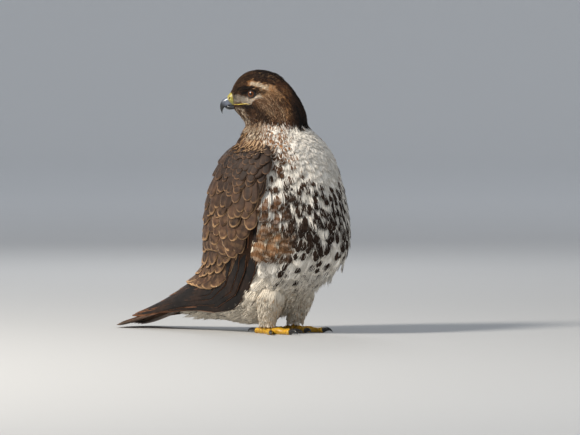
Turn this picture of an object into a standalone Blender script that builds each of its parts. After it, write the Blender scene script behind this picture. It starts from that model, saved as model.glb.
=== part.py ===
"""A life-size red tailed hawk standing with its head turned over its right shoulder.

The bird faces -Y, its left side is +X, and it stands on the plane z = 0.
Sizes below are in centimetres, and CM turns them into metres as each mesh is made.
"""

import math

import bmesh
import bpy
import numpy as np

CM = 0.01
GAP = 0.03
SKIN_GAP = 0.035
RING = 36
HEAD_TURN = 140.0
HEAD_SHIFT = round(HEAD_TURN * RING / 360.0)
NECK_CENTRE_Y = 1.425
EYE_TO_NECK = 3.625
EYE_HEIGHT = 34.06
SETBACK_Y = -10.03
UP = np.array([0.0, 0.0, 1.0])
BACKWARD = np.array([0.0, 1.0, 0.0])

# Trunk stations from the neck to the rump: back y, back z, breast y, breast z, half width.
TRUNK = np.array([
    (5.9, 29.2, -3.3, 29.2, 4.5),
    (6.5, 27.7, -5.2, 27.4, 6.1),
    (7.2, 25.6, -6.9, 25.0, 7.3),
    (8.6, 22.8, -8.2, 21.9, 8.0),
    (10.0, 19.6, -9.4, 18.2, 8.3),
    (10.8, 16.6, -10.0, 14.4, 8.3),
    (11.4, 14.2, -9.5, 11.0, 8.0),
    (11.8, 12.2, -6.6, 8.0, 7.0),
    (12.4, 10.6, -2.7, 5.0, 5.9),
    (13.1, 9.4, 1.3, 2.3, 5.1),
    (14.1, 8.4, 5.8, 1.1, 4.4),
    (15.4, 7.4, 10.4, 1.6, 3.8),
    (17.5, 6.2, 14.6, 1.6, 3.5),
    (20.2, 4.8, 18.4, 1.2, 3.4),
    (23.4, 3.4, 21.9, 0.8, 3.3),
    (26.6, 2.2, 25.6, 0.3, 3.2),
    (29.8, 1.2, 29.4, 0.1, 3.0),
])
TRUNK_END = 11.0
NECK_SPLIT = 1.3

# Head stations from the neck ring to the face: crown f, crown z, throat f, throat z, half width.
# f runs forward of the eyes and z is above them.
HEAD = np.array([
    (-8.1, -4.86, 0.85, -4.86, 4.5),
    (-7.85, -2.8, 0.72, -4.55, 4.25),
    (-7.0, -0.9, 0.75, -4.25, 3.95),
    (-5.9, 0.75, 0.9, -3.95, 3.6),
    (-4.6, 2.1, 1.1, -3.65, 3.25),
    (-3.0, 3.1, 1.35, -3.35, 2.85),
    (-1.2, 3.42, 1.6, -3.05, 2.45),
    (0.4, 3.15, 1.85, -2.8, 2.05),
    (1.6, 2.35, 2.05, -2.55, 1.65),
    (2.35, 1.3, 2.22, -2.35, 1.25),
    (2.72, 0.4, 2.38, -2.2, 0.98),
])
HEAD_SPLIT = 1.0
FACE_END = 10.0

EYE_RADIUS = 0.88
EYE_SINK = 0.64
LID_RADIUS = 0.73
LID_THICK = 0.14
LID_RAISE = 0.05

# Beak stations: ridge f, ridge z, edge f, edge z, half width.
CERE = np.array([
    (2.78, 0.26, 2.47, -1.62, 0.92),
    (3.05, 0.02, 2.80, -1.64, 0.86),
    (3.34, -0.36, 3.12, -1.66, 0.76),
])
BEAK = np.array([
    (3.38, -0.40, 3.15, -1.67, 0.74),
    (3.85, -0.68, 3.40, -1.76, 0.60),
    (4.20, -1.10, 3.62, -1.86, 0.45),
    (4.37, -1.62, 3.80, -1.98, 0.31),
    (4.33, -2.15, 3.96, -2.22, 0.19),
    (4.16, -2.60, 4.02, -2.56, 0.09),
])
BEAK_TIP = (4.03, -2.88)
JAW = np.array([
    (2.46, -1.66, 2.42, -2.24, 0.80),
    (2.95, -1.69, 2.95, -2.34, 0.70),
    (3.36, -1.78, 3.34, -2.24, 0.54),
])
JAW_TIP = (3.66, -1.94)
NOSTRIL = (3.06, -0.62)
NOSTRIL_RADIUS = 0.13
MOUTH_LINE = np.array([(2.35, -1.66), (1.7, -1.62), (1.0, -1.52), (0.35, -1.42)])
LIP_RADIUS = np.array([0.16, 0.16, 0.13, 0.07])

# Wing: thickness over the trunk, and the angles of its back and front edges, by trunk station.
WING_STATION = np.array([1.3, 2.0, 3.0, 5.0, 7.0, 9.0, 11.0, 13.0, 15.0, 16.0])
WING_BACK = np.array([56.0, 42.0, 30.0, 18.0, 11.0, 8.0, 9.0, 13.0, 20.0, 26.0])
WING_FRONT = np.array([108.0, 113.0, 108.0, 103.5, 109.0, 118.0, 108.0, 94.0, 78.0, 70.0])
CORE_HEIGHT = np.array([0.2, 1.0, 1.2, 0.85, 0.55, 0.28, 0.2, 0.2, 0.2, 0.2])
CORE_STATIONS = (1.45, 1.7, 2.0, 2.5, 3.0, 4.0, 5.0, 6.0, 7.0, 8.0, 9.0, 10.0)
CORE_COLUMNS = 9
CORE_ROOT = -0.25
VANE_THICK = 0.07
VANE_PITCH = 0.11

# Tail: the shaft line of the closed fan, from the rump to the floor.
TAIL_ROOT = (13.0, 5.75)
TAIL_BEND = (25.5, 1.05)
TAIL_TIP = (30.0, 0.2)
TAIL_PAIRS = 6

LEG_X = 3.2
LEG_Y = 0.45
TOE_SPLAY = 8.0

# Feathered thigh, from inside the belly to the bare leg: x, y, z, radius.
THIGH = (
    (3.1, -0.9, 7.8, 1.7),
    (3.25, -0.6, 6.4, 1.95),
    (3.35, -0.3, 5.0, 1.95),
    (3.35, 0.0, 3.6, 1.65),
    (3.25, 0.3, 2.5, 1.3),
    (LEG_X, LEG_Y, 1.75, 0.95),
)

COLOURS = {
    "brown": (0.16, 0.09, 0.05),
    "wing": (0.13, 0.075, 0.045),
    "white": (0.72, 0.66, 0.58),
    "rufous": (0.42, 0.16, 0.07),
    "yellow": (0.80, 0.55, 0.06),
    "horn": (0.05, 0.05, 0.06),
    "iris": (0.16, 0.06, 0.02),
}


def clear_scene():
    for obj in list(bpy.data.objects):
        bpy.data.objects.remove(obj)


def material(name, roughness=0.7):
    found = bpy.data.materials.get(name)
    if found:
        return found
    made = bpy.data.materials.new(name)
    made.use_nodes = True
    shader = made.node_tree.nodes["Principled BSDF"]
    shader.inputs["Base Color"].default_value = (*COLOURS[name], 1.0)
    shader.inputs["Roughness"].default_value = roughness
    shader.inputs["Metallic"].default_value = 0.0
    return made


def smooth(table, t):
    """The row of an evenly spaced table at t, on a Catmull-Rom curve through its rows."""
    last = len(table) - 1
    i = int(min(max(math.floor(t), 0), last - 1))
    s = t - i
    p1, p2 = table[i], table[i + 1]
    p0 = table[i - 1] if i > 0 else 2 * p1 - p2
    p3 = table[i + 2] if i + 2 <= last else 2 * p2 - p1
    return 0.5 * (2 * p1 + (p2 - p0) * s + (2 * p0 - 5 * p1 + 4 * p2 - p3) * s ** 2
                  + (3 * p1 - p0 - 3 * p2 + p3) * s ** 3)


def section(row):
    """Middle, half height vector and half width of a station, in its own upright plane."""
    high = np.array(row[0:2])
    low = np.array(row[2:4])
    return (high + low) / 2, (high - low) / 2, row[4]


def trunk_point(t, angle):
    """A point of the trunk. The angle is 0 at the back, 90 at the left and 180 at the breast."""
    middle, reach, width = section(smooth(TRUNK, t))
    turn = math.radians(angle)
    upright = middle + reach * math.cos(turn)
    return np.array([width * math.sin(turn), upright[0], upright[1]])


def trunk_normal(t, angle):
    step = 0.02
    along = trunk_point(t + step, angle) - trunk_point(t - step, angle)
    around = trunk_point(t, angle + 1.0) - trunk_point(t, angle - 1.0)
    normal = np.cross(around, along)
    return normal / np.linalg.norm(normal)


def over_trunk(t, angle, height):
    """A point at a height over the trunk, straight between whole stations as the wing's faces are."""
    low = math.floor(t + 1e-9)
    share = t - low
    point = trunk_point(low, angle) + height * trunk_normal(low, angle)
    if share > 1e-6:
        high = trunk_point(low + 1, angle) + height * trunk_normal(low + 1, angle)
        point = point * (1 - share) + high * share
    return point


def head_axes():
    turn = math.radians(HEAD_TURN)
    forward = np.array([-math.sin(turn), -math.cos(turn), 0.0])
    left = np.array([-forward[1], forward[0], 0.0])
    eyes = np.array([0.0, NECK_CENTRE_Y, 0.0]) + EYE_TO_NECK * forward
    eyes[2] = EYE_HEIGHT
    return eyes, forward, left


EYES, FORWARD, LEFT = head_axes()


def head_to_world(f, side, z):
    return EYES + f * FORWARD + side * LEFT + z * UP


def bump(f, z, start, end, reach):
    """A ridge that fades with the distance from the line between two points of the side view."""
    a = np.array(start)
    line = np.array(end) - a
    spot = np.array((f, z))
    share = min(max(np.dot(spot - a, line) / np.dot(line, line), 0.0), 1.0)
    away = np.linalg.norm(spot - a - share * line)
    return math.exp(-(away / reach) ** 2)


def face_relief(f, z):
    """Brow ridge, hollow lores and full cheeks, as added half width."""
    brow = 0.34 * bump(f, z, (1.2, 0.95), (-0.7, 1.15), 0.5)
    lores = -0.16 * bump(f, z, (1.5, -0.4), (2.2, -0.8), 0.6)
    socket = -0.12 * bump(f, z, (0.0, 0.0), (0.1, 0.0), 0.7)
    cheek = 0.30 * bump(f, z, (-1.0, -1.9), (-3.2, -0.8), 1.2)
    return brow + lores + socket + cheek


def head_point(t, angle):
    """A point of the head. The angle is 0 at the crown, 90 at its left and 180 at the throat."""
    middle, reach, width = section(smooth(HEAD, t))
    turn = math.radians(angle)
    f, z = middle + reach * math.cos(turn)
    side = width * math.sin(turn)
    side += face_relief(f, z) * math.sin(turn) * min(t / 2.0, 1.0)
    return head_to_world(f, side, z)


def head_half_width(f, z):
    """How far the head's side stands from its middle plane at a point of the side view."""
    low, high = 0.0, FACE_END
    for _ in range(40):
        t = (low + high) / 2
        middle, reach, width = section(smooth(HEAD, t))
        across = reach[0] * (z - middle[1]) - reach[1] * (f - middle[0])
        if across < 0:
            low = t
        else:
            high = t
    share = np.dot(np.array((f, z)) - middle, reach) / np.dot(reach, reach)
    round_part = math.sqrt(max(1 - share ** 2, 0.0))
    return (width + face_relief(f, z)) * round_part


def add_object(name, points, faces, colour, smooth_angle=35):
    """A mesh object from points in centimetres, set back so that the model is centred."""
    mesh = bpy.data.meshes.new(name)
    placed = (np.array(points) + np.array([0.0, SETBACK_Y, 0.0])) * CM
    mesh.from_pydata(placed.tolist(), [], faces)
    mesh.update()
    obj = bpy.data.objects.new(name, mesh)
    bpy.context.scene.collection.objects.link(obj)
    mesh.materials.append(material(colour))
    close_up(obj)
    mesh.shade_smooth()
    mesh.set_sharp_from_angle(angle=math.radians(smooth_angle))
    return obj


def close_up(obj):
    """Merges doubled points and turns every face outwards."""
    work = bmesh.new()
    work.from_mesh(obj.data)
    bmesh.ops.remove_doubles(work, verts=work.verts, dist=0.00002)
    bmesh.ops.recalc_face_normals(work, faces=work.faces)
    work.to_mesh(obj.data)
    work.free()


def loft(rings, tip=None):
    """Points and triangles of closed rings joined in order, with flat ends or a pointed last one.

    The quads of a ring's two halves are split along opposite diagonals, so that both sides match.
    """
    count = len(rings[0])
    points = [p for ring in rings for p in ring]
    faces = []
    for k in range(len(rings) - 1):
        for i in range(count):
            j = (i + 1) % count
            a, b = k * count + i, k * count + j
            c, d = (k + 1) * count + j, (k + 1) * count + i
            if 2 * i < count:
                faces.append((a, b, c))
                faces.append((a, c, d))
            else:
                faces.append((a, b, d))
                faces.append((b, c, d))
    first = rings[0].mean(axis=0)
    final = rings[-1].mean(axis=0) if tip is None else np.array(tip)
    points.append(first)
    points.append(final)
    base = (len(rings) - 1) * count
    for i in range(count):
        j = (i + 1) % count
        faces.append((j, i, len(points) - 2))
        faces.append((base + i, base + j, len(points) - 1))
    return np.array(points), faces


def trunk_ring(t, grow=0.0, slide=0.0):
    """A ring of the trunk, grown along its normals and slid along the trunk."""
    ring = []
    for i in range(RING):
        angle = 360.0 * i / RING
        ring.append(trunk_point(t, angle) + grow * trunk_normal(t, angle))
    ring = np.array(ring)
    if slide:
        ahead = section(smooth(TRUNK, t + 0.05))[0] - section(smooth(TRUNK, t - 0.05))[0]
        ahead = np.array([0.0, *ahead])
        ring = ring + slide * ahead / np.linalg.norm(ahead)
    return ring


def head_ring(t, slide=0.0):
    ring = np.array([head_point(t, 360.0 * i / RING) for i in range(RING)])
    if slide:
        ahead = section(smooth(HEAD, t + 0.05))[0] - section(smooth(HEAD, t - 0.05))[0]
        ahead = ahead[0] * FORWARD + ahead[1] * UP
        ring = ring + slide * ahead / np.linalg.norm(ahead)
    return ring


def evaluated_mesh(obj):
    graph = bpy.context.evaluated_depsgraph_get()
    graph.update()
    mesh = bpy.data.meshes.new_from_object(obj.evaluated_get(graph))
    obj.modifiers.clear()
    obj.data = mesh


def cut(obj, cutter, solver="EXACT"):
    """Takes the cutter's shape out of the object and removes the cutter."""
    step = obj.modifiers.new("cut", "BOOLEAN")
    step.operation = "DIFFERENCE"
    step.solver = solver
    step.object = cutter
    evaluated_mesh(obj)
    bpy.data.objects.remove(cutter)
    keep_largest(obj)


def fuse(obj, pieces, solver="EXACT"):
    """Joins closed pieces to the object in one Boolean union on a collection."""
    group = bpy.data.collections.new("pieces")
    bpy.context.scene.collection.children.link(group)
    for piece in pieces:
        bpy.context.scene.collection.objects.unlink(piece)
        group.objects.link(piece)
    step = obj.modifiers.new("join", "BOOLEAN")
    step.operation = "UNION"
    step.solver = solver
    step.operand_type = "COLLECTION"
    step.collection = group
    evaluated_mesh(obj)
    for piece in pieces:
        bpy.data.objects.remove(piece)
    bpy.data.collections.remove(group)
    keep_largest(obj)


def keep_largest(obj):
    """Keeps only the largest closed surface of a mesh."""
    work = bmesh.new()
    work.from_mesh(obj.data)
    bmesh.ops.remove_doubles(work, verts=work.verts, dist=0.000005)
    bmesh.ops.triangulate(work, faces=work.faces)
    seen = set()
    groups = []
    for face in work.faces:
        if face in seen:
            continue
        stack = [face]
        seen.add(face)
        group = []
        while stack:
            here = stack.pop()
            group.append(here)
            for edge in here.edges:
                for near in edge.link_faces:
                    if near not in seen:
                        seen.add(near)
                        stack.append(near)
        groups.append(group)
    groups.sort(key=lambda g: -sum(f.calc_area() for f in g))
    for group in groups[1:]:
        bmesh.ops.delete(work, geom=group, context="FACES")
    loose = [v for v in work.verts if not v.link_faces]
    bmesh.ops.delete(work, geom=loose, context="VERTS")
    work.to_mesh(obj.data)
    work.free()
    obj.data.shade_smooth()
    obj.data.set_sharp_from_angle(angle=math.radians(35))


def make_torso():
    stations = [NECK_SPLIT] + [2, 3, 4, 5, 6, 7, 8, 9, 10] + [TRUNK_END]
    rings = [trunk_ring(t) for t in stations]
    rings[0] = trunk_ring(NECK_SPLIT, slide=GAP / 2)
    rings[-1] = trunk_ring(TRUNK_END, slide=-GAP / 2)
    return add_object("torso", *loft(rings), "white")


def trunk_cutter():
    """The trunk grown by the gap that touching pieces keep."""
    stations = [0.0, 1.0, NECK_SPLIT] + list(range(2, 12))
    rings = [trunk_ring(t, grow=SKIN_GAP) for t in stations]
    return add_object("trunk_cutter", *loft(rings), "white")


def make_neck():
    """The neck turns with the head: its upper rings are the head's, counted from the body's back."""
    upper = [head_ring(HEAD_SPLIT, slide=-GAP / 2), head_ring(0.5), head_ring(0.0)]
    rings = [np.roll(ring, HEAD_SHIFT, axis=0) for ring in upper]
    rings += [trunk_ring(0.6), trunk_ring(NECK_SPLIT, slide=-GAP / 2)]
    return add_object("neck", *loft(rings), "brown")


def eye_place(side):
    """The spot on the face over an eye, and the way the eye looks, square to the face there."""
    slope = (head_half_width(0.9, 0.0) - head_half_width(-0.9, 0.0)) / 1.8
    axis = side * LEFT - slope * FORWARD
    spot = head_to_world(0.0, side * head_half_width(0.0, 0.0), 0.0)
    return spot, axis / np.linalg.norm(axis)


def ball(name, centre, radius, colour, segments=12, rings=8):
    work = bmesh.new()
    bmesh.ops.create_uvsphere(work, u_segments=segments, v_segments=rings, radius=radius)
    points = np.array([v.co[:] for v in work.verts]) + centre
    faces = [[v.index for v in f.verts] for f in work.faces]
    work.free()
    return add_object(name, points, faces, colour)


def torus(name, centre, across, up, radius, thick, colour, steps=14, sides=6):
    """A ring of round section in the plane of two directions."""
    out = np.cross(across, up)
    points = []
    faces = []
    for k in range(steps):
        turn = 2 * math.pi * k / steps
        spoke = math.cos(turn) * across + math.sin(turn) * up
        for m in range(sides):
            lean = 2 * math.pi * m / sides
            points.append(centre + spoke * (radius + thick * math.cos(lean))
                          + out * thick * math.sin(lean))
            a, b = k * sides + m, k * sides + (m + 1) % sides
            c = ((k + 1) % steps) * sides + (m + 1) % sides
            d = ((k + 1) % steps) * sides + m
            faces.append((a, b, c, d))
    return add_object(name, points, faces, colour)


def lip(side):
    """The fleshy line of the mouth along one cheek."""
    rings = []
    for (f, z), radius in zip(MOUTH_LINE, LIP_RADIUS):
        middle = head_to_world(f, side * (head_half_width(f, z) - 0.02), z)
        ring = []
        for k in range(6):
            turn = 2 * math.pi * k / 6
            ring.append(middle + radius * (1.2 * math.cos(turn) * LEFT + 0.8 * math.sin(turn) * UP))
        rings.append(np.array(ring))
    return add_object("lip", *loft(rings), "yellow")


def make_head():
    stations = [HEAD_SPLIT, 1.8, 2.6, 3.3, 4.0, 4.6, 5.2, 5.8, 6.4, 7.0, 7.6, 8.3, 9.1]
    rings = [head_ring(HEAD_SPLIT, slide=GAP / 2)] + [head_ring(t) for t in stations[1:]]
    rings.append(head_ring(FACE_END, slide=-GAP / 2))
    head = add_object("head", *loft(rings), "brown")
    extras = []
    for side in (-1, 1):
        rim, axis = eye_place(side)
        extras.append(torus("lid", rim + LID_RAISE * axis, np.cross(UP, axis), UP, LID_RADIUS,
                            LID_THICK, "brown"))
        extras.append(lip(side))
    fuse(head, extras)
    for side in (-1, 1):
        rim, axis = eye_place(side)
        cut(head, ball("socket", rim - EYE_SINK * axis, EYE_RADIUS + GAP, "brown"))
    return head


def make_eyes():
    for name, side in (("eye_left", 1), ("eye_right", -1)):
        rim, axis = eye_place(side)
        ball(name, rim - EYE_SINK * axis, EYE_RADIUS, "iris")


def beak_ring(row, edge, count=12):
    """A beak section, round on one side and squared off towards the mouth.

    edge is -1 where the mouth lies below it and 1 where the mouth lies above it.
    """
    middle, reach, width = section(row)
    ring = []
    for k in range(count):
        turn = 2 * math.pi * k / count
        rise = math.cos(turn)
        spread = math.sin(turn)
        if rise * edge > 1e-6:
            rise = math.copysign(abs(rise) ** 0.55, rise)
            spread = math.copysign(abs(spread) ** 0.4, spread)
        else:
            spread = math.copysign(abs(spread) ** 0.8, spread)
        f, z = middle + reach * rise
        ring.append(head_to_world(f, width * spread, z))
    return np.array(ring)


def make_beak():
    cere = add_object("cere", *loft([beak_ring(row, -1) for row in CERE]), "yellow")
    for side in (-1, 1):
        spot = head_to_world(NOSTRIL[0], side * 0.86, NOSTRIL[1])
        cut(cere, ball("nostril_cutter", spot, NOSTRIL_RADIUS, "horn", 8, 6))
    tip = head_to_world(BEAK_TIP[0], 0.0, BEAK_TIP[1])
    add_object("beak_upper", *loft([beak_ring(row, -1) for row in BEAK], tip), "horn")
    tip = head_to_world(JAW_TIP[0], 0.0, JAW_TIP[1])
    add_object("beak_lower", *loft([beak_ring(row, 1) for row in JAW], tip), "horn")


def by_station(values, t):
    return float(np.interp(t, WING_STATION, values))


def wing_angle(t, share):
    """The angle round the trunk at a share of the way from the wing's back edge to its front."""
    back = by_station(WING_BACK, t)
    front = by_station(WING_FRONT, t)
    return back + (front - back) * share


def wing_place(side, t, share, height):
    low = math.floor(t + 1e-9)
    point = over_trunk(low, wing_angle(low, share), height)
    part = t - low
    if part > 1e-6:
        high = over_trunk(low + 1, wing_angle(low + 1, share), height)
        point = point * (1 - part) + high * part
    return point * np.array([side, 1.0, 1.0])


def make_wing_core(name, side):
    """The folded arm and hand under the feathers, as a slab that wraps the trunk's side."""
    rings = []
    for t in CORE_STATIONS:
        top = by_station(CORE_HEIGHT, t)
        over = []
        under = []
        for k in range(CORE_COLUMNS):
            share = k / (CORE_COLUMNS - 1)
            crown = 1 - (2 * share - 1) ** 6
            height = CORE_ROOT + (top - CORE_ROOT) * (0.25 + 0.75 * crown)
            over.append(wing_place(side, t, share, height))
            under.append(wing_place(side, t, share, CORE_ROOT))
        rings.append(np.array(over + under[::-1]))
    return add_object(name, *loft(rings), "wing")


def vane(place, start, end, share, half, count, height, droop=0.0):
    """One flight or covert feather, wide through its middle with a rounded tip.

    place maps (station, share, height) to a point, half is half its width as a share of the
    wing's width, count is how many feathers share the row, and height gives its middle's height.
    """
    stations = [start]
    stations += [t for t in range(math.ceil(start + 0.3), math.floor(end) + 1) if t < end - 0.25]
    stations += [end - 0.22, end]
    rings = []
    for t in stations:
        along = (t - start) / (end - start)
        width = half * min(1.0, 0.62 + 0.6 * along)
        if t == stations[-1]:
            width = half * 0.38
        elif t == stations[-2]:
            width = half * 0.84
        ring = []
        for thick in (1, 0):
            for sign in (-1, 0, 1) if thick else (1, 0, -1):
                spot = share(t) + sign * width
                rise = height(along) + VANE_PITCH * sign * width * count
                rise += VANE_THICK * (thick - 0.5) - droop * along * abs(sign)
                ring.append(place(t, spot, rise))
        rings.append(np.array(ring))
    return add_object("vane", *loft(rings), "wing")


def row_of_vanes(side, count, first, last, start, end, low, high, tips=None, overlap=0.95):
    """A tier of a wing: feathers from one share of its width to another.

    low and high are heights over the trunk at the root and at the tip.
    """
    pieces = []
    spread = last - first
    for k in range(count):
        middle = (k + 0.5) / count
        tip = end if tips is None else tips[k]
        tip += 0.09 * math.sin(2.4 * k + 0.7)

        def share(t, middle=middle):
            return first + spread * middle

        def height(along):
            return low + (high - low) * along ** 0.8

        def place(t, spot, rise):
            return wing_place(side, t, min(max(spot, -0.04), 1.04), rise)

        pieces.append(vane(place, start, tip, share, overlap * spread / count,
                           count / spread, height))
    return pieces


def make_wing():
    side = 1
    wing = make_wing_core("wing_left", side)
    primary_tips = [11.9, 12.4, 13.0, 13.7, 14.3, 14.7, 14.4]
    secondary_tips = [11.6, 11.7, 11.6, 11.5, 11.4, 11.2, 11.0, 10.8]
    feathers = []
    feathers += row_of_vanes(side, 7, 0.10, 1.0, 9.2, None, 0.17, 0.16, primary_tips)
    feathers += row_of_vanes(side, 8, 0.0, 1.0, 7.0, None, 0.42, 0.62, secondary_tips)
    feathers += row_of_vanes(side, 8, 0.06, 1.0, 4.4, 7.9, 0.78, 1.12)
    feathers += row_of_vanes(side, 8, 0.14, 1.0, 3.1, 5.7, 1.0, 1.36)
    feathers += row_of_vanes(side, 7, 0.22, 1.0, 2.1, 4.1, 0.9, 1.55)
    feathers += row_of_vanes(side, 3, -0.02, 0.36, 3.2, 6.9, 1.0, 1.66)
    feathers += row_of_vanes(side, 3, -0.02, 0.38, 2.1, 5.0, 0.9, 1.9)
    fuse(wing, feathers, "MANIFOLD")
    cut(wing, trunk_cutter(), "MANIFOLD")
    return wing


def mirrored(obj, name):
    """The same solid on the other side of the bird."""
    mesh = obj.data.copy()
    mesh.name = name
    other = bpy.data.objects.new(name, mesh)
    bpy.context.scene.collection.objects.link(other)
    work = bmesh.new()
    work.from_mesh(mesh)
    for vert in work.verts:
        vert.co.x = -vert.co.x
    bmesh.ops.reverse_faces(work, faces=work.faces)
    work.to_mesh(mesh)
    work.free()


def tail_line(share):
    """The fan's shaft line: straight from the rump, then bent to lie on the floor."""
    a, b, c = (np.array(p) for p in (TAIL_ROOT, TAIL_BEND, TAIL_TIP))
    return (1 - share) ** 2 * a + 2 * share * (1 - share) * b + share ** 2 * c


def make_tail():
    """The rump's coverts as a tapered root, with twelve tail feathers fanned from it."""
    roots = np.array([
        (15.4, 7.4, 10.4, 1.6, 3.8),
        (16.6, 6.2, 13.6, 1.5, 3.3),
        (17.9, 5.2, 16.4, 1.5, 2.9),
        (19.4, 4.4, 18.8, 1.6, 2.5),
        (21.0, 3.6, 20.8, 1.9, 1.9),
    ])
    rings = []
    for k, row in enumerate(roots):
        if k == 0:
            rings.append(trunk_ring(TRUNK_END, slide=GAP / 2))
            continue
        centre, up, half = section(row)
        ring = []
        for i in range(RING):
            turn = 2 * math.pi * i / RING
            upright = centre + up * math.cos(turn)
            ring.append((half * math.sin(turn), upright[0], upright[1]))
        rings.append(np.array(ring))
    tail = add_object("tail", *loft(rings), "rufous")
    feathers = []
    for side in (-1, 1):
        for pair in range(TAIL_PAIRS):
            feathers.append(tail_feather(side, pair))
    fuse(tail, feathers)
    return tail


def tail_feather(side, pair):
    """One tail feather. Pair 0 is the middle pair, which lies on top."""
    stations = (0.16, 0.4, 0.65, 0.88, 0.97, 1.0)
    widths = (0.7, 1.1, 1.5, 1.6, 1.15, 0.5)
    level = -VANE_PITCH * (pair + (0.5 if side > 0 else 0.0)) + 0.33
    fan = side * (0.35 + 0.55 * pair)
    rings = []
    for share, half in zip(stations, widths):
        here = tail_line(share * (1.0 - 0.012 * pair))
        ahead = tail_line(min(share + 0.02, 1.0)) - tail_line(share - 0.02)
        ahead = ahead / np.linalg.norm(ahead)
        up = np.array([-ahead[1], ahead[0]])
        across = fan * (0.35 + 0.65 * share)
        ring = []
        for thick in (1, 0):
            for sign in (-1, 0, 1) if thick else (1, 0, -1):
                x = across + sign * half * 0.8
                rise = level + VANE_THICK * (thick - 0.5) - 0.02 * abs(x) * share
                y, z = here + up * rise
                ring.append((x, y, max(z, VANE_THICK * thick)))
        rings.append(np.array(ring))
    return add_object("tail_vane", *loft(rings), "rufous")


def tube(path, radii, sides, over, floor=None, first=None, last=None):
    """Rings along a path, each turned square to it, pressed flat where they reach the floor.

    over is a direction that the path never follows, first and last are the ways that the end
    rings face, where that isn't along the path.
    """
    path = np.array(path, float)
    rings = []
    for k, (point, radius) in enumerate(zip(path, radii)):
        ahead = path[min(k + 1, len(path) - 1)] - path[max(k - 1, 0)]
        if k == 0 and first is not None:
            ahead = np.array(first)
        if k == len(path) - 1 and last is not None:
            ahead = np.array(last)
        ahead = ahead / np.linalg.norm(ahead)
        across = np.cross(ahead, over)
        across = across / np.linalg.norm(across)
        up = np.cross(across, ahead)
        ring = []
        for i in range(sides):
            turn = 2 * math.pi * (i + 0.5) / sides
            spot = point + radius * (math.cos(turn) * across + math.sin(turn) * up)
            if floor is not None:
                spot[2] = max(spot[2], floor)
            ring.append(spot)
        rings.append(np.array(ring))
    return rings


# Toes: name, heading from straight ahead, length, radius, claw length.
TOES = (
    ("middle", 0.0, 4.6, 0.50, 2.1),
    ("inner", 34.0, 3.3, 0.52, 2.5),
    ("outer", -38.0, 3.8, 0.44, 1.8),
    ("hind", 176.0, 2.5, 0.52, 2.7),
)


def toe_heading(side, heading):
    """Unit direction of a toe on the floor. Inner toes turn towards the bird's middle."""
    turn = math.radians(side * (TOE_SPLAY - heading))
    return np.array([math.sin(turn), -math.cos(turn), 0.0])


def make_leg(label, side):
    hip = np.array([side * LEG_X, LEG_Y, 0.0])
    thigh_path = [(side * x, y, z) for x, y, z, _ in THIGH]
    thigh_radius = [radius for _, _, _, radius in THIGH]
    thigh_rings = tube(thigh_path, thigh_radius, 16, BACKWARD, last=-UP)
    thigh = add_object(f"thigh_{label}", *loft(thigh_rings), "white")
    cut(thigh, trunk_cutter())
    shin = [hip + (0, 0, 1.75 - GAP), hip + (0, 0.0, 1.4), hip + (0, 0.0, 1.12)]
    add_object(f"shank_{label}", *loft(tube(shin, (0.6, 0.55, 0.55), 12, BACKWARD)), "yellow")
    foot_path = [hip + (0, 0.0, 1.12 - GAP), hip + (0, 0, 0.8), hip + (0, 0, 0.35), hip]
    foot_rings = tube(foot_path, (0.55, 0.72, 0.72, 0.5), 12, BACKWARD)
    foot = add_object(f"foot_{label}", *loft(foot_rings), "yellow")
    toes = []
    for name, heading, length, radius, claw in TOES:
        way = toe_heading(side, heading)
        path = []
        radii = []
        for share in (0.0, 0.25, 0.42, 0.6, 0.8, 1.0):
            knuckle = 1.0 + 0.14 * math.cos(4 * math.pi * share)
            radii.append(radius * knuckle * (1 - 0.3 * share ** 2))
            path.append(hip + way * length * share + (0, 0, radius * (0.92 - 0.25 * share)))
        toe_rings = tube(path, radii, 8, UP, floor=0.0, last=way)
        toes.append(add_object("toe", *loft(toe_rings), "yellow"))
        make_claw(f"claw_{label}_{name}", hip + way * length, way, radius * 0.66, claw)
    fuse(foot, toes)


def make_claw(name, root, way, radius, length):
    """A curved claw that drops from the toe's end and stops just above the floor."""
    path = []
    radii = []
    for share in (0.0, 0.25, 0.5, 0.75, 0.92):
        reach = length * 0.72 * math.sin(1.35 * share)
        rise = 0.36 + 0.26 * math.sin(2.6 * share) - 0.34 * share ** 2
        path.append(root + way * (GAP + 0.02 + reach) + UP * rise)
        radii.append(radius * (1 - 0.8 * share))
    tip = root + way * (GAP + length * 0.72) + UP * 0.06
    add_object(name, *loft(tube(path, radii, 8, UP, first=way), tip), "horn")


def main():
    clear_scene()
    make_torso()
    make_neck()
    make_head()
    make_eyes()
    make_beak()
    mirrored(make_wing(), "wing_right")
    make_tail()
    make_leg("left", 1)
    make_leg("right", -1)


main()
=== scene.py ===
import math

import bpy
import numpy as np
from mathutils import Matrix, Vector


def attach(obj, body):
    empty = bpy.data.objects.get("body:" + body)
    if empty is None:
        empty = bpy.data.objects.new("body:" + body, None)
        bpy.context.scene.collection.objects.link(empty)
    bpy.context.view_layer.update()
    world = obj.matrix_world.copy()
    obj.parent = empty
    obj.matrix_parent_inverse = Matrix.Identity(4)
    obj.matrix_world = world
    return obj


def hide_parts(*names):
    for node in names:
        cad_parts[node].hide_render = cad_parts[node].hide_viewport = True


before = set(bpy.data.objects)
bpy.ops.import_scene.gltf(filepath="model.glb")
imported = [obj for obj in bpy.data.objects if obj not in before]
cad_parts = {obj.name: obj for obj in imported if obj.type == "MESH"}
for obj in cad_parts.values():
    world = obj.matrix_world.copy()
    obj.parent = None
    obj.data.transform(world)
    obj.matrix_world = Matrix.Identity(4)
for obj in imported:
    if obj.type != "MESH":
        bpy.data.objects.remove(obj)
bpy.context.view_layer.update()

# The hawk faces -Y with its left side at +X. Shapes are worked out in centimetres and put into
# meshes in metres, set back so that the whole bird is centred.
cm = 0.01
setBack = np.array([0.0, -10.03, 0.0])
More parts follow.
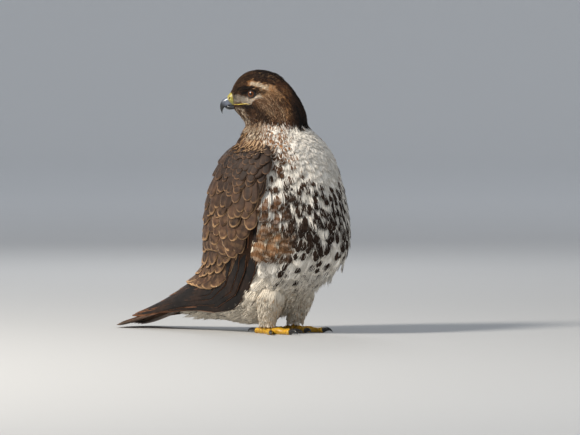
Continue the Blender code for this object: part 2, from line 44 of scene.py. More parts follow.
upWay = np.array([0.0, 0.0, 1.0])
neckFoot = 10  # where the trunk begins, counted from the face along the lie of the coat


# camera, stage and light

cameraSettings = {
    "azimuth": 308.0,
    "elevation": 1.8,
    "distance": 8.0,
    "lens": 348.5,
    "target": (0.0053, -0.107, 0.1646),
}

stageSettings = {
    "floorRings": (0.4, 2.0, 5.0),
    "floorRadius": 11.0,
    "coveRadius": 3.0,
    "wallTop": 7.0,
    "sides": 96,
    "near": (0.47, 0.47, 0.465),
    "far": (0.86, 0.86, 0.85),
}

lightSettings = {
    # name: (place, size, power, colour)
    "key": ((-2.25, 0.75, 2.0), 0.75, 122.0, (1.0, 0.94, 0.85)),
    "fill": ((-0.2, -2.6, 0.9), 1.8, 9.5, (0.84, 0.92, 1.0)),
    "back": ((1.7, 1.7, 1.8), 1.0, 16.0, (0.96, 0.98, 1.0)),
}
worldTone = (0.84, 0.90, 1.0)
worldPower = 0.45
lightAim = (0.0, -0.08, 0.18)


def makeCamera():
    # stands at its distance from the target, turned and raised by its two angles
    turn = math.radians(cameraSettings["azimuth"])
    rise = math.radians(cameraSettings["elevation"])
    back = Vector((math.sin(turn) * math.cos(rise), -math.cos(turn) * math.cos(rise),
                   math.sin(rise)))
    data = bpy.data.cameras.new("camera")
    data.lens = cameraSettings["lens"]
    data.sensor_width = 36.0
    data.clip_end = 100.0
    camera = bpy.data.objects.new("camera", data)
    camera.location = Vector(cameraSettings["target"]) + back * cameraSettings["distance"]
    camera.rotation_euler = (-back).to_track_quat("-Z", "Y").to_euler()
    bpy.context.scene.collection.objects.link(camera)
    bpy.context.scene.camera = camera


def makeLights():
    # soft discs that all face the bird, in an even pale surrounding
    for name, (place, size, power, colour) in lightSettings.items():
        data = bpy.data.lights.new(name, "AREA")
        data.shape = "DISK"
        data.size = size
        data.energy = power
        data.color = colour
        light = bpy.data.objects.new(name, data)
        light.location = place
        aim = Vector(lightAim) - Vector(place)
        light.rotation_euler = aim.to_track_quat("-Z", "Y").to_euler()
        bpy.context.scene.collection.objects.link(light)
    world = bpy.data.worlds.new("studio")
    world.use_nodes = True
    sky = world.node_tree.nodes["Background"]
    sky.inputs["Color"].default_value = (*worldTone, 1.0)
    sky.inputs["Strength"].default_value = worldPower
    bpy.context.scene.world = world
    bpy.context.scene.view_settings.view_transform = "Standard"
    bpy.context.scene.view_settings.look = "None"


makeCamera()
makeLights()
print("camera and light are set")


# small tools for arrays, meshes and shader nodes

def dot(p, q):
    # the sum of products over each place's three numbers
    return np.sum(p * q, axis=-1)


def size(p):
    # how long each way is
    return np.sqrt(dot(p, p))


def unit(p):
    # the same ways, each of length 1
    return p / np.maximum(size(p), 1e-12)[..., None]


def circle(count):
    # even turns once round, without the last one, which is the first again
    return np.linspace(0, 2 * math.pi, count, endpoint=False)


def around(turn, first, second):
    # cos(turn) times the first way plus sin(turn) times the second
    return np.cos(turn)[..., None] * first + np.sin(turn)[..., None] * second


def paint(code):
    # a colour written as rrggbb, turned into the even scale that light adds up in
    parts = np.array([int(code[i:i + 2], 16) for i in (0, 2, 4)]) / 255
    return np.where(parts <= 0.04045, parts / 12.92, ((parts + 0.055) / 1.055) ** 2.4)


def blend(first, second, share):
    # the first at share 0, the second at share 1, and evenly between
    return first + (second - first) * share


def ease(value, low, high):
    # 0 below low, 1 above high, and a smooth S between them
    share = np.clip((value - low) / (high - low), 0.0, 1.0)
    return share * share * (3 - 2 * share)


def smoothed(values, times):
    # a running mean over neighbours with its ends held
    soft = values.copy()
    for _ in range(times):
        soft[1:-1] = (soft[:-2] + 2 * soft[1:-1] + soft[2:]) / 4
    return soft


def capsule(f, z, start, end, reach):
    # 1 on the line between two points of the side view, fading with the distance from it
    lineF, lineZ = end[0] - start[0], end[1] - start[1]
    long = max(lineF ** 2 + lineZ ** 2, 1e-9)
    share = np.clip(((f - start[0]) * lineF + (z - start[1]) * lineZ) / long, 0.0, 1.0)
    away = (f - start[0] - share * lineF) ** 2 + (z - start[1] - share * lineZ) ** 2
    return np.exp(-away / reach ** 2)


def cloudAt(a, b, stepA, stepB, seed):
    # smooth random values from 0 to 1: a net of random numbers, read between its knots. b is an
    # angle, so the net closes on itself that way
    rows, columns = 256, int(round(360 / stepB))
    net = np.random.default_rng(seed).random((rows, columns))
    x, y = a / stepA, np.mod(b, 360) / 360 * columns
    i, j = np.floor(x).astype(int), np.floor(y).astype(int)
    u, v = ease(x - i, 0, 1), ease(y - j, 0, 1)
    i0, i1, j0, j1 = i % rows, (i + 1) % rows, j % columns, (j + 1) % columns
    return blend(blend(net[i0, j0], net[i1, j0], u), blend(net[i0, j1], net[i1, j1], u), v)


def putMesh(name, points, quads, tris, material, uvs=None, colours=None):
    # points in centimetres, faces as arrays of corner numbers, one UV or colour for each point
    mesh = bpy.data.meshes.new(name)
    placed = ((points + setBack) * cm).astype(np.float32)
    mesh.vertices.add(len(placed))
    mesh.vertices.foreach_set("co", placed.ravel())
    corners = np.concatenate([quads.ravel(), tris.ravel()]).astype(np.int32)
    starts = np.concatenate([np.arange(len(quads)) * 4,
                             len(quads) * 4 + np.arange(len(tris)) * 3])
    mesh.loops.add(len(corners))
    mesh.loops.foreach_set("vertex_index", corners)
    mesh.polygons.add(len(starts))
    mesh.polygons.foreach_set("loop_start", starts.astype(np.int32))
    mesh.update(calc_edges=True)
    mesh.shade_smooth()
    for label, uv in (uvs or {}).items():
        layer = mesh.uv_layers.new(name=label)
        layer.data.foreach_set("uv", uv[corners].astype(np.float32).ravel())
    for label, values in (colours or {}).items():
        if values.shape[1] == 3:
            values = np.concatenate([values, np.ones((len(values), 1))], axis=1)
        layer = mesh.attributes.new(label, "FLOAT_COLOR", "POINT")
        layer.data.foreach_set("color", values.astype(np.float32).ravel())
    mesh.materials.append(material)
    piece = bpy.data.objects.new(name, mesh)
    bpy.context.scene.collection.objects.link(piece)
    return piece


def sheetFaces(rows, columns, wrap, first=None, last=None):
    # quads between neighbours of a grid whose points are counted row by row; first and last are
    # the numbers of the points that close its two ends, each with a fan of triangles
    k = np.arange(rows - 1)[:, None]
    i = np.arange(columns if wrap else columns - 1)
    j = (i + 1) % columns
    quads = np.stack([k * columns + i, k * columns + j, (k + 1) * columns + j,
                      (k + 1) * columns + i], -1).reshape(-1, 4)
    fans = [np.zeros((0, 3), int)]
    if first is not None:
        fans.append(np.stack([j, i, 0 * i + first], -1))
    if last is not None:
        base = (rows - 1) * columns
        fans.append(np.stack([base + i, base + j, 0 * i + last], -1))
    return quads, np.concatenate(fans)


def turnOutwards(points, quads, tris):
    # flips every face of a closed shape if its volume comes out negative
    p = points[np.concatenate([quads[:, [0, 1, 2]], quads[:, [0, 2, 3]], tris])]
    volume = np.sum(dot(p[:, 0], np.cross(p[:, 1], p[:, 2])))
    return (quads[:, ::-1], tris[:, ::-1]) if volume < 0 else (quads, tris)


def closedTube(rings, tip=None, start=None):
    # rings of points joined in order. Each end is a fan round a given point or the ring's middle
    rows, columns = rings.shape[:2]
    start = rings[0].mean(axis=0) if start is None else start
    tip = rings[-1].mean(axis=0) if tip is None else tip
    points = np.concatenate([rings.reshape(-1, 3), start[None], tip[None]])
    quads, tris = sheetFaces(rows, columns, True, rows * columns, rows * columns + 1)
    return (points, *turnOutwards(points, quads, tris))


def withEnds(values):
    # one value for each point of a closed tube: those of its rings, then its two ends
    values = values.reshape(-1, values.shape[-1])
    return np.concatenate([values, values[:1], values[-1:]])


def joined(shapes):
    # several (points, quads, tris) as one
    starts = np.cumsum([0] + [len(points) for points, _, _ in shapes])
    return (np.concatenate([points for points, _, _ in shapes]),
            np.concatenate([quads + start for (_, quads, _), start in zip(shapes, starts)]),
            np.concatenate([tris + start for (_, _, tris), start in zip(shapes, starts)]))


class Wire:
    # a shader value that is added, multiplied and so on like a number, one math node a step
    def __init__(self, socket):
        self.socket = socket

    def __add__(self, other):
        return calc("ADD", self, other)

    def __sub__(self, other):
        return calc("SUBTRACT", self, other)

    def __rsub__(self, other):
        return calc("SUBTRACT", other, self)

    def __mul__(self, other):
        return calc("MULTIPLY", self, other)

    def __truediv__(self, other):
        return calc("DIVIDE", self, other)

    def __pow__(self, other):
        return calc("POWER", self, other)

    def __abs__(self):
        return calc("ABSOLUTE", self)


def plug(target, value):
    # gives an input another node's output, a number or a colour
    if isinstance(value, Wire):
        target.id_data.links.new(value.socket, target)
    elif target.type == "RGBA":
        target.default_value = (*value, 1.0)[:4]
    else:
        target.default_value = value


def calc(operation, *values):
    # one math node on shader values and numbers
    tree = next(x.socket.id_data for x in values if isinstance(x, Wire))
    made = tree.nodes.new("ShaderNodeMath")
    made.operation = operation
    for target, value in zip(made.inputs, values):
        plug(target, value)
    return Wire(made.outputs[0])


def scaled(value, factor, add):
    # value times factor plus add
    return calc("MULTIPLY_ADD", value, factor, add)


class Look:
    # a material, with short ways to add nodes to it
    def __init__(self, name):
        self.material = bpy.data.materials.new(name)
        self.material.use_nodes = True
        self.tree = self.material.node_tree
        self.shader = self.tree.nodes["Principled BSDF"]

    def node(self, kind, output, feed=None, **settings):
        # adds a node, feeds its inputs and gives back one of its outputs
        made = self.tree.nodes.new("ShaderNode" + kind)
        for key, value in settings.items():
            setattr(made, key, value)
        for key, value in (feed or {}).items():
            plug(made.inputs[key], value)
        return Wire(made.outputs[output])

    def give(self, values):
        for key, value in values.items():
            plug(self.shader.inputs[key], value)

    def ease(self, value, low, high):
        return self.node("MapRange", 0, {"Value": value, "From Min": low, "From Max": high},
                         interpolation_type="SMOOTHSTEP")

    def mix(self, share, first, second, mode="MIX"):
        return self.node("Mix", 2, {0: share, 6: first, 7: second}, data_type="RGBA",
                         blend_type=mode)

    def shaded(self, colour, tone):
        # a colour times one number
        grey = self.node("CombineColor", 0, {0: tone, 1: tone, 2: tone})
        return self.mix(1.0, colour, grey, "MULTIPLY")

    def noise(self, scale, detail=3.0, stretch=None):
        # cloudy noise on the piece's own coordinates, with about one cloud in 1/scale metres
        place = self.node("TexCoord", "Object")
        if stretch:
            place = self.node("Mapping", 0, {"Vector": place, "Scale": stretch})
        return self.node("TexNoise", "Fac", {"Vector": place, "Scale": scale, "Detail": detail})

    def attribute(self, name, output="Color"):
        return self.node("Attribute", output, attribute_name=name)

    def map(self, name):
        return self.node("UVMap", 0, uv_map=name)

    def split(self, vector, kind="XYZ"):
        # the three parts of a place or a colour
        made = self.node("Separate" + kind, 0, {0: vector}).socket.node
        return [Wire(socket) for socket in made.outputs]

    def bump(self, height, strength, distance):
        self.give({"Normal": self.node("Bump", 0, {"Height": height, "Strength": strength,
                                                   "Distance": distance})})


# stage

def makeStage():
    # a round floor that curves up into a wall, as a profile turned about the upright axis
    s = stageSettings
    radius, cove = s["floorRadius"], s["coveRadius"]
    bend = np.linspace(0, math.pi / 2, 16)
    out = np.concatenate([s["floorRings"], radius + cove * np.sin(bend), [radius + cove]])
    rise = np.concatenate([[0.0, 0.0, 0.0], cove - cove * np.cos(bend), [s["wallTop"]]])
    turn = circle(s["sides"])
    rings = np.stack([out[:, None] * np.cos(turn), out[:, None] * np.sin(turn),
                      rise[:, None] + 0 * turn], -1)
    points = np.concatenate([rings.reshape(-1, 3), [[0.0, 0.0, 0.0]]])
    quads, tris = sheetFaces(len(out), s["sides"], True, len(points) - 1)
    # darker under the bird, where the key light falls, so that floor and wall look alike
    look = Look("stagePaper")
    away = look.node("VectorMath", "Value", {0: look.node("TexCoord", "Object")},
                     operation="LENGTH")
    away = scaled(look.noise(2.5), 0.2, away)
    look.give({"Base Color": look.mix(look.ease(away, 0.6, 7.0), s["near"], s["far"]),
               "Roughness": 0.9})
    stage = putMesh("floor", points / cm - setBack, quads[:, ::-1], tris[:, ::-1], look.material)


makeStage()
print("stage is made")


# the bird's own form, from the same named sizes as the solids

# trunk stations from the neck to the tail's end: back y, back z, breast y, breast z, half width
trunkTable = np.array([
    (5.9, 29.2, -3.3, 29.2, 4.5), (6.5, 27.7, -5.2, 27.4, 6.1), (7.2, 25.6, -6.9, 25.0, 7.3),
    (8.6, 22.8, -8.2, 21.9, 8.0), (10.0, 19.6, -9.4, 18.2, 8.3), (10.8, 16.6, -10.0, 14.4, 8.3),
    (11.4, 14.2, -9.5, 11.0, 8.0), (11.8, 12.2, -6.6, 8.0, 7.0), (12.4, 10.6, -2.7, 5.0, 5.9),
    (13.1, 9.4, 1.3, 2.3, 5.1), (14.1, 8.4, 5.8, 1.1, 4.4), (15.4, 7.4, 10.4, 1.6, 3.8),
    (17.5, 6.2, 14.6, 1.6, 3.5), (20.2, 4.8, 18.4, 1.2, 3.4), (23.4, 3.4, 21.9, 0.8, 3.3),
    (26.6, 2.2, 25.6, 0.3, 3.2), (29.8, 1.2, 29.4, 0.1, 3.0),
])
# head stations from the neck to the face: crown f, crown z, throat f, throat z, half width,
# with f forward of the eyes and z above them
headTable = np.array([
    (-8.1, -4.86, 0.85, -4.86, 4.5), (-7.85, -2.8, 0.72, -4.55, 4.25),
    (-7.0, -0.9, 0.75, -4.25, 3.95), (-5.9, 0.75, 0.9, -3.95, 3.6), (-4.6, 2.1, 1.1, -3.65, 3.25),
    (-3.0, 3.1, 1.35, -3.35, 2.85), (-1.2, 3.42, 1.6, -3.05, 2.45), (0.4, 3.15, 1.85, -2.8, 2.05),
    (1.6, 2.35, 2.05, -2.55, 1.65), (2.35, 1.3, 2.22, -2.35, 1.25), (2.72, 0.4, 2.38, -2.2, 0.98),
])
headTurn = 140.0
headWay = np.array([-math.sin(math.radians(headTurn)), -math.cos(math.radians(headTurn)), 0.0])
headLeft = np.array([-headWay[1], headWay[0], 0.0])
eyesMiddle = np.array([0.0, 1.425, 34.06]) + 3.625 * headWay


def spline(table, t):
    # the rows of an evenly spaced table at t, on a curve through them (Catmull and Rom's)
    last = len(table) - 1
    i = np.clip(np.floor(t), 0, last - 1).astype(int)
    s = (t - i)[..., None]
    p1, p2 = table[i], table[i + 1]
    p0 = np.where((i > 0)[..., None], table[np.maximum(i - 1, 0)], 2 * p1 - p2)
    p3 = np.where((i + 2 <= last)[..., None], table[np.minimum(i + 2, last)], 2 * p2 - p1)
    return 0.5 * (2 * p1 + (p2 - p0) * s + (2 * p0 - 5 * p1 + 4 * p2 - p3) * s ** 2
                  + (3 * p1 - p0 - 3 * p2 + p3) * s ** 3)


def middleAndReach(rows):
    # the middle of an oval's two ends, and the way from there to the upper one
    return (rows[..., 0:2] + rows[..., 2:4]) / 2, (rows[..., 0:2] - rows[..., 2:4]) / 2


def ovalSection(rows, turn):
    # a leaning oval: half width times sin to the side, and middle plus reach times cos upright
    middle, reach = middleAndReach(rows)
    upright = middle + reach * np.cos(turn)[..., None]
    return rows[..., 4] * np.sin(turn), upright[..., 0], upright[..., 1]


def trunkPoints(t, angle):
    # angle 0 at the back, 90 at the left side, 180 at the breast
    side, y, z = ovalSection(spline(trunkTable, t), np.radians(angle))
    return np.stack([side, y, z], -1)


def faceRelief(f, z):
    # brow ridges, hollow lores and full cheeks as added half width
    brow = 0.40 * capsule(f, z, (1.35, 0.72), (-0.75, 1.0), 0.36)
    lores = -0.18 * capsule(f, z, (1.5, -0.5), (2.2, -0.8), 0.6)
    socket = -0.16 * capsule(f, z, (0.1, -0.1), (0.3, -0.1), 0.75)
    cheek = 0.30 * capsule(f, z, (-1.0, -1.9), (-3.2, -0.8), 1.2)
    return brow + lores + socket + cheek


def headPlace(f, side, z):
    # a place given as forward of the eyes, to the left of them and above them
    f, side, z = (np.asarray(x, float)[..., None] for x in (f, side, z))
    return eyesMiddle + f * headWay + side * headLeft + z * upWay


def headPoints(t, angle):
    # angle 0 at the crown, 90 at the head's left, 180 at the throat
    turn = np.radians(angle)
    side, f, z = ovalSection(spline(headTable, t), turn)
    side = side + faceRelief(f, z) * np.sin(turn) * np.minimum(t / 2, 1)
    return headPlace(f, side, z)


def headView(points):
    # forward, side and height of places on the head, seen from the eyes' middle
    away = points - eyesMiddle
    return away @ headWay, away @ headLeft, away[..., 2]


def bodyPoints(s, angle):
    # s runs from the face (0) over the foot of the neck to the tail (26), along the lie of the
    # coat. The head's and the trunk's ovals are mixed over a short way below the neck's foot
    join = 0.6
    head = headPoints(np.clip(neckFoot - s, 0, 10.3), angle - headTurn)
    trunk = trunkPoints(np.maximum(s - neckFoot, join), angle)
    share = np.clip((s - neckFoot) / join, 0, 1)[..., None]
    return head * (1 - share) + trunk * share


def makeSurface(a, b, points, core, wrap=False):
    # a grid of places with the slope along a, the slope along b and the way out from the core
    slopeA = np.gradient(points, a, axis=0)
    if wrap:
        ring = np.concatenate([points[:, -2:-1], points, points[:, 1:2]], axis=1)
        slopeB = (ring[:, 2:] - ring[:, :-2]) / (2 * (b[1] - b[0]))
    else:
        slopeB = np.gradient(points, b, axis=1)
    out = unit(np.cross(slopeB, slopeA))
    out = out * np.sign(np.sum(out * (points - core[:, None])))
    return {"a": a, "b": b, "wrap": wrap,
            "grid": np.concatenate([points, slopeA, slopeB, out], axis=2)}


def readSurface(surface, a, b):
    # place, slope along a, slope along b and way out, mixed from the four grid points around
    gridA, gridB, grid = surface["a"], surface["b"], surface["grid"]
    if surface["wrap"]:
        b = np.mod(b, 360)
    x = np.clip((a - gridA[0]) / (gridA[1] - gridA[0]), 0, len(gridA) - 1.001)
    y = np.clip((b - gridB[0]) / (gridB[1] - gridB[0]), 0, len(gridB) - 1.001)
    i, j = x.astype(int), y.astype(int)
    u, v = (x - i)[..., None], (y - j)[..., None]
    mix = (grid[i, j] * (1 - u) * (1 - v) + grid[i + 1, j] * u * (1 - v)
           + grid[i, j + 1] * (1 - u) * v + grid[i + 1, j + 1] * u * v)
    return mix[..., 0:3], mix[..., 3:6], mix[..., 6:9], unit(mix[..., 9:12])


def makeBodySurface():
    # the ovals of head, neck and trunk on an even net of places and angles
    a = np.linspace(-0.3, 26, 527)
    b = np.linspace(0, 360, 241)
    points = bodyPoints(*np.meshgrid(a, b, indexing="ij"))
    # the join of neck and trunk is eased with a running mean that is widest at the join
    spread = np.exp(-((a - 10.3) / 0.9) ** 2)
    points = points + (smoothed(points, 60) - points) * spread[:, None, None]
    return makeSurface(a, b, points, points[:, :-1].mean(axis=1), True)


wingSettings = {
    # the wing's back and front edges as angles round the trunk, by trunk station
    "stations": (1.0, 1.3, 2.0, 3.0, 5.0, 7.0, 9.0, 11.0, 13.0, 15.0, 16.0),
    "back": (60.0, 54.0, 42.0, 30.0, 18.0, 11.0, 8.0, 9.0, 13.0, 20.0, 26.0),
    "front": (104.0, 109.0, 113.0, 108.0, 103.5, 109.0, 118.0, 108.0, 94.0, 78.0, 70.0),
    # height of the arm and hand over the trunk, under the feathers
    "arm": (0.0, 0.1, 0.75, 0.95, 0.65, 0.38, 0.12, 0.02, 0.0, 0.0, 0.0),
    # height of the feathers' outer side over the trunk
    "cover": (0.15, 0.35, 1.2, 1.5, 1.45, 1.15, 0.72, 0.5, 0.28, 0.2, 0.2),
}


def wingRead(key, t):
    # one measure of the folded wing, read between the named stations
    return np.interp(t, wingSettings["stations"], wingSettings[key])


def makeWingSurface(side):
    # the trunk's flank read by station and by the share of the way from the back to the front edge
    a = np.linspace(1.0, 16.0, 301)
    b = np.linspace(-0.2, 1.2, 113)
    t, share = np.meshgrid(a, b, indexing="ij")
    angle = wingRead("back", t) + (wingRead("front", t) - wingRead("back", t)) * share
    points = trunkPoints(t, angle) * np.array([side, 1.0, 1.0])
    core = trunkPoints(np.repeat(a[:, None], 2, 1), np.array([[90.0, 270.0]]) + 0 * a[:, None])
    return makeSurface(a, b, points, core.mean(axis=1))


# feathered thigh from inside the belly to the bare leg: x, y, z, radius
thighTable = np.array([
    (3.1, -0.9, 7.8, 1.7), (3.25, -0.6, 6.4, 1.95), (3.35, -0.3, 5.0, 1.95),
    (3.35, 0.0, 3.6, 1.7), (3.25, 0.3, 2.5, 1.4), (3.2, 0.45, 1.5, 1.15), (3.2, 0.5, 0.5, 1.1),
])


def makeThighSurface(side):
    # level circles round the table's middles, as wide as its radii
    a = np.linspace(0, 6, 61)
    b = np.linspace(0, 360, 73)
    rows = spline(thighTable, a)
    turn = np.radians(b)
    ring = np.stack([np.cos(turn), np.sin(turn), 0 * turn], -1)
    points = rows[:, None, 0:3] + rows[:, None, 3:4] * ring[None]
    points[..., 0] *= side
    core = rows[:, 0:3] * np.array([side, 1.0, 1.0])
    return makeSurface(a, b, points, core, True)


tailSettings = {
    "root": (13.0, 5.75),
    "bend": (25.5, 1.05),
    "tip": (30.0, 0.2),
    "pairs": 6,
    "rootShare": 0.10, "half": 1.32, "inner": "8a4a2a", "outer": "a87a56",
    "widths": (0.4, 0.55, 0.68, 0.78, 0.86, 0.93, 0.98, 1.0, 0.94, 0.74, 0.42, 0.0),
}


def awayFromBreast(angle):
    # degrees round the body from the middle of the breast, the same on both sides
    return np.abs(np.mod(angle, 360) - 180)


def awayFromBack(angle):
    # degrees round the body from the middle of the back
    return 180 - awayFromBreast(angle)


def tailLine(share):
    # one arc from the rump to the floor, drawn by three points
    a, b, c = (np.array(tailSettings[key]) for key in ("root", "bend", "tip"))
    s = np.asarray(share)[..., None]
    return (1 - s) ** 2 * a + 2 * s * (1 - s) * b + s ** 2 * c


def makeTailSurface():
    # the tail's arc, the same at every distance to the side
    a = np.linspace(0, 1.02, 103)
    b = np.linspace(-9, 9, 73)
    line = tailLine(a)
    points = np.zeros((len(a), len(b), 3))
    points[..., 0] = b
    points[..., 1:] = line[:, None]
    core = np.stack([0 * a, line[:, 0], line[:, 1] - 5], -1)
    return makeSurface(a, b, points, core)


body = makeBodySurface()
wings = {"Left": makeWingSurface(1), "Right": makeWingSurface(-1)}
thighs = {"Left": makeThighSurface(1), "Right": makeThighSurface(-1)}
tailPlane = makeTailSurface()
print("surfaces are worked out")


# colours, read by skin and coat alike

tones = {
    "white": paint("e6e0d6"), "cream": paint("d9ccb6"), "greyWhite": paint("b9b3a8"),
    "buff": paint("c49c70"), "tawny": paint("a4703f"), "rufous": paint("8c6038"),
    "warmBrown": paint("7a5034"), "midBrown": paint("5f432f"), "brown": paint("483325"),
    "darkBrown": paint("302219"), "black": paint("1a1513"), "fringe": paint("b28d66"),
    "dullFringe": paint("634a37"), "paleFringe": paint("c0a484"), "bristle": paint("938d80"),
    "tuft": paint("8c6747"),
}


def mixTone(first, second, share):
    # two colours mixed, with one share for each place
    share = np.asarray(share)[..., None]
    return first * (1 - share) + second * share


def headTones(f, z, chance):
    # inner colour (along the shaft) and outer colour (at the edges) of each small feather, laid on
    # in patches of the side view: start, end, reach, inner, outer, strength. The patches' edges
    # are mixed feather by feather
    patches = (
        ((-1.0, 3.4), (1.6, 2.4), 1.3, "darkBrown", "midBrown", 1.0),
        ((-4.2, 2.5), (-1.6, 3.2), 0.9, "black", "brown", 1.0),
        ((2.6, 0.6), (1.9, 1.6), 0.6, "darkBrown", "midBrown", 0.9),
        ((-1.7, 0.1), (-3.8, -0.5), 0.95, "midBrown", "buff", 0.9),
        ((-2.3, -1.6), (-4.2, -2.8), 1.2, "midBrown", "paleFringe", 1.0),
        ((-4.9, 0.4), (-5.3, -3.0), 0.6, "brown", "tawny", 0.7),
        ((-0.2, -2.3), (-1.7, -3.5), 1.15, "darkBrown", "midBrown", 1.0),
        ((1.7, -1.95), (0.2, -1.9), 0.30, "black", "darkBrown", 0.9),
        ((1.7, -2.6), (0.7, -4.0), 0.70, "brown", "cream", 0.9),
        ((0.1, 1.5), (-3.2, 0.75), 0.44, "tawny", "paleFringe", 0.9),
        ((-0.2, 1.45), (-2.3, 0.95), 0.26, "paleFringe", "cream", 0.9),
        ((-0.9, 0.2), (-2.0, 0.3), 0.22, "darkBrown", "brown", 0.9),
        ((0.35, -0.85), (-1.2, -0.35), 0.36, "paleFringe", "greyWhite", 0.95),
        ((2.35, -0.55), (0.75, -0.85), 0.52, "bristle", "greyWhite", 0.85),
        ((2.5, -0.1), (2.3, -1.1), 0.30, "brown", "bristle", 0.8),
        ((2.0, 0.35), (1.2, 0.5), 0.42, "darkBrown", "brown", 1.0),
        ((1.7, 0.55), (0.8, 0.85), 0.34, "black", "darkBrown", 1.0),
        ((0.8, 0.9), (-0.85, 0.58), 0.26, "black", "darkBrown", 1.0),
        ((1.2, 0.1), (0.55, 0.1), 0.34, "black", "darkBrown", 1.0),
        ((-0.6, 0.2), (-1.2, 0.25), 0.20, "black", "darkBrown", 0.9),
        ((0.0, 0.1), (-0.3, 0.1), 0.52, "darkBrown", "brown", 1.0),
    )
    inner, outer = tones["darkBrown"], tones["warmBrown"]
    for k, (start, end, reach, innerName, outerName, strength) in enumerate(patches):
        mottle = 0.45 * (np.mod(chance * (13.7 + 3.1 * k), 1.0) - 0.5)
        share = strength * ease(capsule(f, z, start, end, reach) + mottle, 0.2, 0.62)
        inner = mixTone(inner, tones[innerName], share)
        outer = mixTone(outer, tones[outerName], share)
    edged = (np.mod(chance * 91.3, 1.0) < 0.16) * 0.5
    outer = mixTone(outer, tones["buff"], edged)
    # further back the nape turns towards black and brown: its own dark brown, deepened with
    # painted shade
    nape = ease(-f, 4.7, 6.4)
    inner = mixTone(inner, tones["black"], nape)
    outer = mixTone(outer, tones["brown"], nape)
    pale = np.maximum(capsule(f, z, (-0.15, 1.5), (-2.9, 0.9), 0.45),
                      capsule(f, z, (2.4, -0.6), (-1.0, -0.7), 0.5))
    return inner, outer, ease(pale, 0.3, 0.7)


def bodyTones(s, angle, chance):
    # colours and marks of the body's feathers; chance is one even random number for each
    t = s - neckFoot
    fromBreast = awayFromBreast(angle)
    other = np.mod(chance * 37.7, 1.0)
    # upper breast white, rufous streaks beside it, the neck's sides brown edged with buff
    inner, outer = tones["rufous"], tones["white"]
    streaks = ease(fromBreast, 30, 48) * ease(3.3 - t, 0.0, 1.2)
    wide = 0.03 + streaks * (chance > 0.15) * (0.26 + 0.30 * other)
    long = 0.12 + 0.30 * streaks
    # dark drops, first few, then a dense band over the belly, then few and small
    start = 2.9 - 1.6 * ease(fromBreast, 30, 65)
    few = ease(t, start, start + 0.3)
    band = ease(t, 3.2, 3.7) * ease(6.0 - t, 0.0, 1.0)
    late = ease(t, 5.4, 6.3)
    likely = np.clip(0.72 * few + 0.2 * band - 0.2 * late - 0.35 * ease(t, 6.2, 7.2)
                     + 0.2 * ease(fromBreast, 40, 60) * (1 - late)
                     - 0.4 * late * ease(fromBreast, 45, 60), 0, 1)
    drop = few * (other < likely)
    inner = mixTone(inner, mixTone(tones["midBrown"], tones["darkBrown"], ease(t, 2.2, 3.8)), few)
    dropWide = 0.03 + drop * (0.60 + 0.02 * band - 0.14 * late + 0.12 * chance)
    wide = np.where(few > 0.5, dropWide, wide)
    long = np.where(few > 0.5, 0.23 + 0.12 * band - 0.06 * late, long)
    long = long + 0.10 * few * ease(fromBreast, 36, 50) * ease(3.6 - t, 0, 0.6)
    thin = ease(np.mod(angle, 360), 90, 110) * ease(172 - np.mod(angle, 360), 0, 20) * band
    wide = wide * (1 - 0.5 * thin)
    long = long + 0.08 * thin
    # flanks beside the wings: big brown feathers edged white, then rufous ones barred with cream
    upper = ease(fromBreast, 50, 60) * ease(t, 3.3, 3.9) * ease(5.4 - t, 0.0, 0.6)
    inner = mixTone(inner, tones["midBrown"], upper)
    wide = blend(wide, 0.78, upper)
    long = blend(long, 0.28, upper)
    lower = ease(fromBreast, 46, 60) * ease(t, 4.9, 5.4) * ease(6.6 - t, 0.0, 0.5)
    inner = mixTone(inner, tones["tuft"], lower)
    outer = mixTone(outer, tones["cream"], lower)
    wide = blend(wide, 0.9, lower)
    long = blend(long, 0.38, lower)
    # cream lower belly and vent
    low = ease(t, 7.0, 8.2) * ease(112 - fromBreast, 0, 20)
    outer = mixTone(outer, tones["cream"], 0.55 * low)
    wide = wide * (1 - low) + low * 0.14 * (other > 0.8)
    collar = ease(fromBreast, 66, 88) * ease(2.6 - t, 0.0, 0.8)
    inner = mixTone(inner, tones["midBrown"], collar)
    outer = mixTone(outer, mixTone(tones["buff"], tones["cream"], 0.3 + 0.7 * chance), collar)
    wide = blend(wide, 0.36, collar)
    long = blend(long, 0.5, collar)
    # brown back
    high = 36 * ease(1.7 - t, 0, 1)
    back = ease(fromBreast - high, 98, 112)
    inner = mixTone(inner, tones["darkBrown"], back)
    outer = mixTone(outer, tones["fringe"], back)
    wide = blend(wide, 0.8, back)
    long = blend(long, 0.6, back)
    return inner, outer, wide, long, lower * 0.3


def coatTones(s, angle, points, chance):
    # head and body colours, parted at the foot of the neck, lower down behind the nape
    f, _, z = headView(points)
    innerH, outerH, pale = headTones(f, z, chance)
    innerB, outerB, wide, long, bars = bodyTones(s, angle, chance)
    edge = 4.35 + 0.8 * ease(-f, 3.6, 7.2) + 0.8 * (chance - 0.5)
    share = ease(-z, edge - 0.2, edge + 0.2)
    # streaks along the lie of the head's feathers, from tawny to dark
    streak = ease(cloudAt(s, angle, 1.1, 4.6, 5), 0.25, 0.75)
    wideH = (0.26 + 0.56 * streak + 0.14 * chance) * (1 - 0.6 * pale)
    return (mixTone(innerH, innerB, share), mixTone(outerH, outerB, share),
            blend(wideH, wide, share), blend(0.55, long, share), bars * share)


# skin: one surface under the coat

